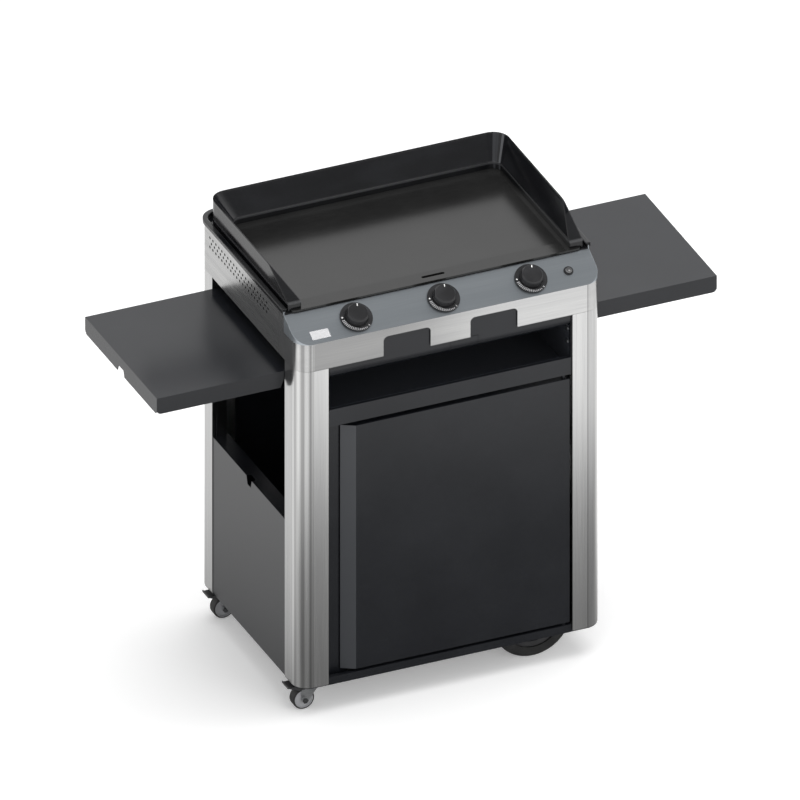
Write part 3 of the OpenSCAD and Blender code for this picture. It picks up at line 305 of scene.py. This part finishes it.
enamelSettings = dict(dark=(0.0040, 0.0042, 0.0050), light=(0.0075, 0.0080, 0.0095), fade=(0.3, 0.8),
                      wave=(60, 2, 0.5), smear=(9, 4, 0.6, (1, 1, 3)), highlightBreakup=(900, 3, 0.6, (0.05, 0.05, 1)),
                      foot=(0.056, 0.057, 0.060), footLow=(0.9895, 0.9915), footTop=(0.994, 0.997),
                      highlightBreakupShare=0.5, footHighlightShare=0.6,
                      streakHighlightTone=(0.062, 0.064, 0.070),
                      streaks=[(0.0, 0.0), (0.20, 0.0), (0.30, 0.9), (0.38, 0.1), (0.52, 0.0),
                               (0.64, 0.8), (0.72, 0.1), (0.84, 0.0), (1.0, 0.0)],
                      rough=0.10, roughSmear=0.08, roughFoot=0.12, relief=0.05, reliefDepth=0.0004, edge=0.004)


def guardEnamel(name, s):
    # black enamel with soft pressed edges, a painted highlight along the foot, broken up by a noise,
    # and painted upright streaks of reflected light round its inner corners
    f = Finish(name)
    smear, highlightBreakup, height = f.noise(*s["smear"]), f.noise(*s["highlightBreakup"]), f.axis("Z")
    # painted highlight along the foot of the guard
    foot = height.between(*s["footLow"]) * (1 - height.between(*s["footTop"]))
    colour = f.mixColours(foot * (highlightBreakup * s["highlightBreakupShare"] + s["footHighlightShare"]), f.tones(smear, s), s["foot"])
    # painted streaks of reflected light round the inner corners
    turn = (-f.facing("Y")).angleOver(-f.facing("X")) / quarterTurn
    colour = f.mixColours(f.ramp(turn, s["streaks"]), colour, s["streakHighlightTone"])
    rough = smear * s["roughSmear"] + foot * s["roughFoot"] + s["rough"]
    relief = f.bump(f.noise(*s["wave"]), s, f.rounded(s["edge"]))
    return f.surface({"Base Color": colour, "Roughness": rough, "Normal": relief})


enamelBlack = guardEnamel("enamelBlack", enamelSettings)

griddleSettings = dict(dark=(0.009, 0.009, 0.009), light=(0.015, 0.015, 0.0148), fade=(0.35, 0.8),
                       rolled=(180, 4, 0.6, (0.25, 1, 1)), grain=(1300, 2, 0.5), cloud=(4.5, 4, 0.55),
                       rolledTone=0.4, cloudTone=0.7, rolledShare=0.4, grainShare=0.6,
                       rough=0.13, roughCloud=0.05, roughRolled=0.03, relief=0.03, reliefDepth=0.0001,
                       oil=0.56)


def griddleSurface(name, s):
    # seasoned rolled steel with an oily sheen
    f = Finish(name)
    rolled, grain, cloud = f.noise(*s["rolled"]), f.noise(*s["grain"]), f.noise(*s["cloud"])
    colour = f.tones(rolled * s["rolledTone"] + cloud * s["cloudTone"], s)
    rough = cloud * s["roughCloud"] + rolled * s["roughRolled"] + s["rough"]
    relief = f.bump(grain * s["grainShare"] + rolled * s["rolledShare"], s)
    return f.surface({"Base Color": colour, "Roughness": rough, "Normal": relief,
                      "Specular IOR Level": s["oil"]})


plateSatin = griddleSurface("plateSatin", griddleSettings)

plasticBase = dict(grain=(1900, 2, 0.55), cloud=(26, 3, 0.5), fade=(0.3, 0.8), roughSpread=0.12,
                   reliefDepth=0.0001)
glazeBase = dict(cloud=(9, 4, 0.6), fade=(0.3, 0.8), roughSpread=0.1, relief=0.03, reliefDepth=0.0004)


def moulded(name, s):
    # plastic or ink with a fine grain, or a glaze with a slow wave
    f = Finish(name)
    cloud = f.noise(*s["cloud"])
    return f.surface({"Base Color": f.tones(cloud, s), "Roughness": cloud * s["roughSpread"] + s["rough"],
                      "Normal": f.bump(f.noise(*s["grain"]), s)})


knobPlastic = moulded("knobPlastic", dict(plasticBase, dark=(0.010, 0.010, 0.011), light=(0.020, 0.020, 0.022),
                                          rough=0.30, relief=0.08))
discPlastic = moulded("discPlastic", dict(plasticBase, dark=(0.34, 0.345, 0.36), light=(0.44, 0.445, 0.46),
                                          rough=0.35, relief=0.05))
wheelPlastic = moulded("wheelPlastic", dict(plasticBase, dark=(0.034, 0.034, 0.036),
                                            light=(0.054, 0.054, 0.056), rough=0.42, relief=0.12))
ceramicWhite = moulded("ceramicWhite", dict(glazeBase, dark=(0.72, 0.70, 0.64), light=(0.84, 0.82, 0.77),
                                            rough=0.18, grain=(300, 2, 0.5)))

buttonSettings = dict(centre=(0.295, -0.2415), dimple=(0.00168, 0.00312), fine=(500, 3, 0.5),
                      dark=(0.24, 0.24, 0.245), light=(0.34, 0.34, 0.345), bright=(0.86, 0.86, 0.86),
                      rough=0.25, roughSpread=0.1, relief=0.3, reliefDepth=0.0006)


def buttonFace(name, s):
    # dull button with a small bright dimple in its middle
    f = Finish(name)
    fine = f.noise(*s["fine"])
    along = (f.axis("Y") - s["centre"][1]) / math.cos(panelSlope)
    aside = f.axis("X") - s["centre"][0]
    dimple = 1 - ((along * along + aside * aside) ** 0.5).between(*s["dimple"])
    colour = f.mixColours(dimple, f.mixColours(fine, s["dark"], s["light"]), s["bright"])
    return f.surface({"Base Color": colour, "Metallic": 1.0,
                      "Roughness": fine * s["roughSpread"] + s["rough"], "Normal": f.bump(dimple, s)})


buttonBright = buttonFace("buttonBright", buttonSettings)

fasciaSettings = dict(fine=(680, 4, 0.6, (0.012, 1, 1)), broad=(34, 3, 0.5, (0.05, 1, 1)),
                      fineShare=0.45, broadShare=0.55, fade=(0.3, 0.8),
                      bandDark=(0.64, 0.64, 0.64), bandLight=(0.80, 0.80, 0.79), bandShadeTone=(0.56, 0.56, 0.56),
                      bandStart=(-0.327, -0.319), bandGlow=(-0.16, 0.16),
                      slopeShadeDark=(0.46, 0.50, 0.535), slopeShadeLight=(0.56, 0.60, 0.635),
                      bendFade=(0.9296, 0.9308), backFade=(-0.1985, -0.1975),
                      rough=0.20, roughSpread=0.1, roughSlope=0.14, relief=0.06, reliefDepth=0.0002,
                      edge=0.0018)


def fasciaSteel(name, s):
    # bright brushed band with painted shade over its left part and painted reflection bands round its corners,
    # and above the bend a darker, bluish tone painted as shade on the sloping panel, which is also rougher
    f = Finish(name)
    fine, broad = f.noise(*s["fine"]), f.noise(*s["broad"])
    shade = (fine * s["fineShare"] + broad * s["broadShare"]).between(*s["fade"])
    x = f.axis("X")
    # painted shade over the left part of the band
    dull = x.between(*s["bandStart"]) * (1 - x.between(*s["bandGlow"]))
    band = f.mixColours(shade, s["bandDark"], s["bandLight"])
    band = f.mixColours(dull, band, f.mixColours(1.0, band, s["bandShadeTone"], "MULTIPLY"))
    # painted shade and painted reflection bands round the corners
    band = f.mixColours(1.0, band, paintedCornerLight(f, paintedCornerSettings), "MULTIPLY")
    # darker bluish tone on the sloping panel: painted shade
    slopeShadeMask = f.axis("Z").between(*s["bendFade"]) * (1 - f.axis("Y").between(*s["backFade"]))
    colour = f.mixColours(slopeShadeMask, band, f.mixColours(shade, s["slopeShadeDark"], s["slopeShadeLight"]))
    rough = fine * s["roughSpread"] + slopeShadeMask * s["roughSlope"] + s["rough"]
    relief = f.bump(fine, s, f.rounded(s["edge"]))
    return f.surface({"Base Color": colour, "Metallic": 1.0, "Roughness": rough, "Normal": relief})


steelFascia = fasciaSteel("steelFascia", fasciaSettings)

tyreSettings = dict(dark=(0.012, 0.012, 0.012), light=(0.026, 0.026, 0.026), fade=(0.35, 0.75),
                    grain=(1400, 2, 0.5), cloud=(40, 4, 0.6), pitch=0.004, lineFade=(0.2, 0.9),
                    lineShare=0.6, grainShare=0.25, rough=0.55, roughSpread=0.15, relief=0.35,
                    reliefDepth=0.0004)


def tyreRubber(name, s):
    # dusty rubber with fine mould lines round the tread
    f = Finish(name)
    grain, cloud = f.noise(*s["grain"]), f.noise(*s["cloud"])
    lines = (f.axis("Y") * (2 * math.pi / s["pitch"])).sine().between(*s["lineFade"])
    return f.surface({"Base Color": f.tones(cloud, s), "Roughness": cloud * s["roughSpread"] + s["rough"],
                      "Normal": f.bump(lines * s["lineShare"] + grain * s["grainShare"], s)})


tyreBlack = tyreRubber("tyreBlack", tyreSettings)

finishes = [
    (steelPosts, ["corner_posts"]),
    (steelShell, ["body_shell"]),
    (steelFascia, ["control_fascia"]),
    (coatDark, ["side_panel_left", "side_panel_right", "back_panel", "base_tray", "wheel_housings",
                "door_jamb", "door_liner", "shelf_left", "shelf_right", "door_hinge_pins"]),
    (coatInside, ["mid_shelf"]),
    (coatDoor, ["door_panel"]),
    (enamelBlack, ["top_frame", "splash_guard"]),
    (plateSatin, ["griddle_plate"]),
    (knobPlastic, ["knob_left", "knob_centre", "knob_right", "knob_rings", "igniter_housing",
                   "door_magnet"]),
    (discPlastic, ["castor_wheel_front", "castor_wheel_rear"]),
    (wheelPlastic, ["large_wheel_front", "large_wheel_rear", "brake_pedal_front", "brake_pedal_rear"]),
    (zincPlate, ["gas_manifold", "grease_chute", "grease_rails", "grease_tray", "shelf_hinge_pins",
                 "post_screws", "castor_heads", "axle_rod", "axle_collars", "valve_stem_left",
                 "valve_stem_centre", "valve_stem_right", "castor_fork_front", "castor_fork_rear",
                 "castor_axle_front", "castor_axle_rear"]),
    (heatSteel, ["firebox", "heat_shield", "burners"]),
    (brassTurned, ["gas_valves"]),
    (ceramicWhite, ["spark_electrodes"]),
    (buttonBright, ["igniter_button"]),
    (tyreBlack, ["castor_tyre_front", "castor_tyre_rear", "large_tyre_front", "large_tyre_rear"]),
]
for finish, members in finishes:
    for member in members:
        cadObject = nodes[member]
        if not cadObject.material_slots:
            cadObject.data.materials.append(None)
        for slot in cadObject.material_slots:
            slot.link = "OBJECT"
            slot.material = finish
print("finishes made:", len(finishes))


def fromMesh(name, work, material, body):
    # a piece of the object, which rides on the body
    data = bpy.data.meshes.new(name)
    bmesh.ops.recalc_face_normals(work, faces=work.faces)
    work.to_mesh(data)
    work.free()
    data.materials.append(material)
    made = bpy.data.objects.new(name, data)
    bpy.context.scene.collection.objects.link(made)
    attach(made, body)
    return made


def walls(work, rings):
    # faces from each ring of corners to the next
    count = len(rings[0])
    for low, top in zip(rings, rings[1:]):
        for i in range(count):
            j = (i + 1) % count
            work.faces.new((low[i], low[j], top[j], top[i]))


def closedForm(work, rings):
    # walls with a face over the first and the last ring
    walls(work, rings)
    work.faces.new(rings[0][::-1])
    work.faces.new(rings[-1])


def raisedForm(work, place, outline, levels):
    # low form on an outline; each level is a height and how far the outline draws in there
    closedForm(work, [[work.verts.new(place @ Vector((x, y, height))) for x, y in outline(inset)]
                      for height, inset in levels])


def barOutline(wide, long):
    def outline(inset):
        a, b = wide / 2 - inset, long / 2 - inset
        return [(-a, -b), (a, -b), (a, b), (-a, b)]
    return outline


def dotOutline(radius, count):
    def outline(inset):
        turns = [2 * math.pi * k / count for k in range(count)]
        return [((radius - inset) * math.cos(turn), (radius - inset) * math.sin(turn)) for turn in turns]
    return outline


def cardOutline(wide, tall, corner, cornerSteps):
    # rectangle with round corners
    def outline(inset):
        a, b, r = wide / 2 - inset, tall / 2 - inset, corner - inset
        points = []
        for x, y, first in ((a - r, b - r, 0), (r - a, b - r, 1), (r - a, r - b, 2), (a - r, r - b, 3)):
            for step in range(cornerSteps + 1):
                turn = (first + step / cornerSteps) * quarterTurn
                points.append((x + r * math.cos(turn), y + r * math.sin(turn)))
        return points
    return outline


panelSettings = dict(y=bodyShift - 0.2285, z=0.951, slope=panelSlope)  # the middle of the sloping panel


def onPanel(x, s=panelSettings):
    # place on the sloping panel, with Z square to it and Y up the slope
    return Matrix.Translation((x, s["y"], s["z"])) @ Matrix.Rotation(s["slope"], 4, "X")


def onRing(angle, radius, lift):
    # place on a knob's ring, by the angle clockwise from the top
    turn = math.radians(angle)
    return Matrix.Translation((math.sin(turn) * radius, math.cos(turn) * radius, lift))


def clockwise(angle):
    return Matrix.Rotation(-math.radians(angle), 4, "Z")


inkWhite = moulded("inkWhite", dict(plasticBase, dark=(0.74, 0.74, 0.74), light=(0.84, 0.84, 0.83),
                                    rough=0.45, relief=0.02))
inkGrey = moulded("inkGrey", dict(plasticBase, dark=(0.46, 0.46, 0.47), light=(0.56, 0.56, 0.57),
                                  rough=0.45, relief=0.02))
pointerSettings = dict(angle=15, half=0.0011, halfTop=0.00077, high=0.0003,
                       line=[(0.0160, 0.02202), (0.0214, 0.02202), (0.0243, 0.01912)])


def knobPointer(s, place, side):
    # white line over the rim of the knob, which turns with it; its points are a radius and a height
    work = bmesh.new()
    turned = place @ clockwise(s["angle"])
    rows = []
    for radius, lift in s["line"]:
        top = lift + s["high"]
        rows.append([work.verts.new(turned @ Vector(p)) for p in
                     ((-s["half"], radius, lift), (-s["halfTop"], radius, top),
                      (s["halfTop"], radius, top), (s["half"], radius, lift))])
    closedForm(work, rows)
    fromMesh("knob_pointer_" + side, work, inkWhite, "knob_body_" + side)


ringSettings = dict(places=dict(left=-0.206, centre=0.0, right=0.206), lift=0.00502,
                    outer=0.0358, wide=0.0016, barLevels=[(0.0, 0.0), (0.00018, 0.0), (0.0003, 0.00012)],
                    count=16, start=263, step=-7, long=0.0072, short=0.0032, longTicks=8, last=(145, 0.0046),
                    dotAngle=277, dotRadius=0.0325, dotSize=0.0019, dotSides=16,
                    dotLevels=[(0.0, 0.0), (0.00018, 0.0), (0.0003, 0.000475)])


def scaleTicks(s):
    # angle and length of each tick; after the long ones they grow shorter, and the last stands alone
    ticks = []
    for k in range(s["count"]):
        share = max(0, k - s["longTicks"] + 1) / (s["count"] - s["longTicks"])
        ticks.append((s["start"] + k * s["step"], s["long"] + (s["short"] - s["long"]) * share))
    return ticks + [s["last"]]


def ringMarks(s):
    # the heat scale printed on each ring, and the pointer of its knob
    for side, x in s["places"].items():
        place = onPanel(x)
        work = bmesh.new()
        for angle, long in scaleTicks(s):
            middle = place @ onRing(angle, s["outer"] - long / 2, s["lift"]) @ clockwise(angle)
            raisedForm(work, middle, barOutline(s["wide"], long), s["barLevels"])
        fromMesh("ring_ticks_" + side, work, inkGrey, "station")
        work = bmesh.new()
        middle = place @ onRing(s["dotAngle"], s["dotRadius"], s["lift"])
        raisedForm(work, middle, dotOutline(s["dotSize"], s["dotSides"]), s["dotLevels"])
        fromMesh("ring_dot_" + side, work, inkWhite, "station")
        knobPointer(pointerSettings, place, side)


ringMarks(ringSettings)

plateEnamel = moulded("plateEnamel", dict(glazeBase, dark=(0.50, 0.50, 0.51), light=(0.60, 0.60, 0.61),
                                          rough=0.22, grain=(240, 2, 0.5)))
plateSettings = dict(x=-0.2995, up=-0.0217, wide=0.0435, tall=0.022, corner=0.0015, cornerSteps=4,
                     levels=[(0.00002, 0.0), (0.00084, 0.0), (0.0012, 0.00054)])


def blankPlate(s):
    # small enamelled plate at the left of the panel
    work = bmesh.new()
    outline = cardOutline(s["wide"], s["tall"], s["corner"], s["cornerSteps"])
    raisedForm(work, onPanel(s["x"]) @ Matrix.Translation((0, s["up"], 0)), outline, s["levels"])
    fromMesh("blank_plate", work, plateEnamel, "station")


blankPlate(plateSettings)

backingSettings = dict(face=-0.2705, thick=0.0012, top=0.922, flange=0.0024, split=0.8631, trayTop=0.8621,
                       straight=0.851, deep=0.028, roll=0.024, tail=0.006, steps=10, lipTop=0.8402,
                       half=0.2845, trayLow=0.0015, trayHigh=0.0665, gap=0.0008, leastMitre=0.5)


def rolledFoot(s):
    # middle line of the sheet round its rolled foot, as (y, z)
    line = []
    for k in range(s["steps"] + 1):
        turn = quarterTurn * k / s["steps"]
        line.append((s["face"] + s["deep"] * (1 - math.cos(turn)),
                     s["straight"] - s["roll"] * math.sin(turn)))
    return line + [(line[-1][0] + s["tail"], line[-1][1])]


def foldedSheet(s, name, line, x0, x1, body):
    # bent coated sheet of even thickness along X, from its middle line
    work = bmesh.new()
    sides = []
    for i, (y, z) in enumerate(line):
        before = Vector(line[i]) - Vector(line[max(i - 1, 0)])
        after = Vector(line[min(i + 1, len(line) - 1)]) - Vector(line[i])
        first = before.normalized() if before.length else after.normalized()
        second = after.normalized() if after.length else first
        along = (first + second).normalized()
        mitre = max(along.dot(first), s["leastMitre"])
        across = Vector((-along.y, along.x)) * (s["thick"] / 2) / mitre
        sides.append(((y + across.x, z + across.y), (y - across.x, z - across.y)))
    loop = [a for a, b in sides] + [b for a, b in reversed(sides)]
    ends = [[work.verts.new((x, y, z)) for y, z in loop] for x in (x0, x1)]
    walls(work, ends)
    count = len(loop)
    for ring in ends:
        for i in range(count // 2 - 1):
            work.faces.new((ring[i], ring[i + 1], ring[count - 2 - i], ring[count - 1 - i]))
    fromMesh(name, work, coatDark, body)


def notchBacking(s):
    # coated sheet that closes the hand notches; over the drip tray its foot is the tray's own front
    low, high = s["trayLow"] - s["gap"], s["trayHigh"] + s["gap"]
    upper = [(s["face"] - s["flange"], s["top"]), (s["face"], s["top"])]
    foot = rolledFoot(s)
    foldedSheet(s, "notch_backing_left", upper + foot, -s["half"], low, "station")
    foldedSheet(s, "notch_backing_right", upper + foot, high, s["half"], "station")
    foldedSheet(s, "notch_backing_middle", upper + [(s["face"], s["split"])], low, high, "station")
    front = [(s["face"], s["trayTop"])] + foot + [(foot[-1][0], s["lipTop"])]
    foldedSheet(s, "tray_front", front, s["trayLow"], s["trayHigh"], "tray")


notchBacking(backingSettings)

nutDark = moulded("nutDark", dict(plasticBase, dark=(0.018, 0.020, 0.022), light=(0.030, 0.032, 0.034),
                                  rough=0.32, relief=0.06))
nutSettings = dict(x=-0.328, z=0.025, middles=dict(front=-0.2225, rear=0.2055), halfFork=0.02002, sides=24,
                   hexRings=[(0.0, 0.0068), (0.00176, 0.0068), (0.0022, 0.00612)],
                   domeRings=[(0.0022, 0.0052), (0.00332, 0.0039), (0.0038, 0.00182)])


def axleNuts(s):
    # domed hexagon nuts on both ends of each castor's axle; each ring is a height and a radius
    turns = [2 * math.pi * k / s["sides"] for k in range(s["sides"])]
    twelfth = math.pi / 6
    hexShape = [math.cos(twelfth) / math.cos(turn % (2 * twelfth) - twelfth) for turn in turns]
    roundShape = [1] * s["sides"]
    rings = [(*ring, hexShape) for ring in s["hexRings"]] + [(*ring, roundShape) for ring in s["domeRings"]]
    for end, middle in s["middles"].items():
        work = bmesh.new()
        for way in (-1, 1):
            closedForm(work, [[work.verts.new((s["x"] + math.cos(turn) * radius * share,
                                               middle + way * (s["halfFork"] + height),
                                               s["z"] + math.sin(turn) * radius * share))
                               for turn, share in zip(turns, shape)] for height, radius, shape in rings])
        fromMesh("axle_nuts_" + end, work, nutDark, end + "_fork")


axleNuts(nutSettings)
print("small pieces made")


def stageSheets(name, sheets, material):
    # flat faces of the studio, given by their corners
    work = bmesh.new()
    for corners in sheets:
        work.faces.new([work.verts.new(p) for p in corners])
    data = bpy.data.meshes.new(name)
    work.to_mesh(data)
    work.free()
    data.materials.append(material)
    made = bpy.data.objects.new(name, data)
    bpy.context.scene.collection.objects.link(made)
    return made


floorSettings = dict(half=15, sink=-0.0002, colour=(0.92, 0.92, 0.92), varied=(0.9108, 0.9108, 0.9108),
                     cloud=(2.0, 3, 0.5), cloudShare=0.2, lift=0.26, reach=2.5, turnAt=(-0.45, 0.10),
                     frontGlossShade=[(0.0, 0.14), (0.18, 0.17), (0.27, 0.22), (0.43, 0.32), (0.52, 0.58),
                                 (0.60, 1.0), (1.0, 1.0)],
                     sideGlossShade=[(0.0, 0.40), (0.17, 0.48), (0.21, 0.60), (0.35, 0.85), (0.52, 1.0), (1.0, 1.0)])


def studioFloor(s):
    # pale floor that keeps the shadow and is lifted for the camera; for gloss it shows painted shade that
    # darkens towards the cart
    f = Finish("floorPale")
    path = f.add("ShaderNodeLightPath")
    seen, mirrored = f.wire(path, "Is Camera Ray"), f.wire(path, "Is Glossy Ray")
    tone = f.mixColours(f.noise(*s["cloud"]) * s["cloudShare"], s["colour"], s["varied"])
    diffuse = f.wire(f.add("ShaderNodeBsdfDiffuse", None, {"Color": tone}))
    lift = f.glow("ShaderNodeEmission", (1, 1, 1), s["lift"])
    lifted = f.wire(f.add("ShaderNodeAddShader", None, {0: diffuse, 1: lift}))
    # painted shade for gloss only: the floor darkens towards the cart, most in front of it
    away = f.add("ShaderNodeVectorMath", dict(operation="LENGTH"), {0: f.place})
    away = f.wire(away, "Value") / s["reach"]
    shade = f.mixColours(f.axis("Y").between(*s["turnAt"]), f.ramp(away, s["frontGlossShade"]),
                         f.ramp(away, s["sideGlossShade"]))
    f.show(f.either(mirrored, f.either(seen, diffuse, lifted), f.glow("ShaderNodeEmission", shade, 1.0)))
    h = s["half"]
    floor = stageSheets("studioFloor", [((-h, -h, 0), (h, -h, 0), (h, h, 0), (-h, h, 0))], f.material)
    floor.location.z = s["sink"]


class Sky(Finish):
    # the world's nodes, made the same way as a material's
    def __init__(self, name):
        self.world = bpy.data.worlds.new(name)
        self.begin(self.world, "ShaderNodeOutputWorld", "Generated")


skySettings = dict(fill=0.64, low=1.05, high=0.36, overhead=(0.56, 0.93), front=0.20, frontUp=(0.3, 0.8),
                   frontAhead=(0.05, -0.55))


def studioSky(s):
    # white to the camera, a soft even fill, and for gloss white low down and dimmer overhead and in front
    f = Sky("studioSky")
    path = f.add("ShaderNodeLightPath")
    seen = f.wire(path, "Is Camera Ray").most(f.wire(path, "Is Transmission Ray"))
    mirrored = f.wire(path, "Is Glossy Ray")
    up, ahead = f.axis("Z"), f.axis("Y")
    level = up.between(*s["overhead"]) * (s["high"] - s["low"]) + s["low"]
    level = level - up.between(*s["frontUp"]) * ahead.between(*s["frontAhead"]) * s["front"]
    fill, gleam, white = [f.glow("ShaderNodeBackground", (1, 1, 1), strength)
                          for strength in (s["fill"], level, 1.0)]
    f.show(f.either(seen, f.either(mirrored, fill, gleam), white))
    bpy.context.scene.world = f.world


flagSettings = dict(low=1.041, high=1.092, half=0.50, back=0.2415, side=0.351, front=-0.12,
                    cloth=(300, 2, 0.5), dark=(0.002, 0.002, 0.002), light=(0.004, 0.004, 0.004), rough=0.9)


def mirrorFlag(s):
    # dark strips behind and beside the cart's top that only gloss sees, as studio flags; they put a painted dark
    # reflection on the griddle plate and the guard
    f = Finish("flagBlack")
    f.surface({"Base Color": f.mixColours(f.noise(*s["cloth"]), s["dark"], s["light"]), "Roughness": s["rough"]})
    strips = []
    for x0, y0, x1, y1 in ((-s["half"], s["back"], s["half"], s["back"]),
                           (s["side"], s["front"], s["side"], s["back"])):
        strips.append(((x0, y0, s["low"]), (x1, y1, s["low"]), (x1, y1, s["high"]), (x0, y0, s["high"])))
    flag = stageSheets("mirrorFlag", strips, f.material)
    flag.visible_camera = flag.visible_diffuse = flag.visible_shadow = flag.visible_transmission = False


lampSettings = dict(aim=(0, 0, 0.5),
                    lamps=dict(topSoft=dict(place=(0.35, 0.1, 3.0), size=(3.2, 3.2), power=72),
                               frontSoft=dict(place=(0.9, -3.4, 1.5), size=(1.6, 2.2), power=22),
                               sideSoft=dict(place=(3.2, -1.2, 1.6), size=(1.2, 2.0), power=12)))


def softLamps(s):
    # they light the object, while gloss shows the plain backdrop
    for name, lamp in s["lamps"].items():
        data = bpy.data.lights.new(name, "AREA")
        data.shape = "RECTANGLE"
        data.size, data.size_y = lamp["size"]
        data.energy = lamp["power"]
        made = bpy.data.objects.new(name, data)
        bpy.context.scene.collection.objects.link(made)
        made.location = lamp["place"]
        made.rotation_mode = "QUATERNION"
        made.rotation_quaternion = (Vector(s["aim"]) - Vector(lamp["place"])).to_track_quat("-Z", "Y")
        made.visible_glossy = False


studioFloor(floorSettings)
studioSky(skySettings)
softLamps(lampSettings)
mirrorFlag(flagSettings)
bpy.context.scene.view_settings.view_transform = "Standard"
print("studio set")
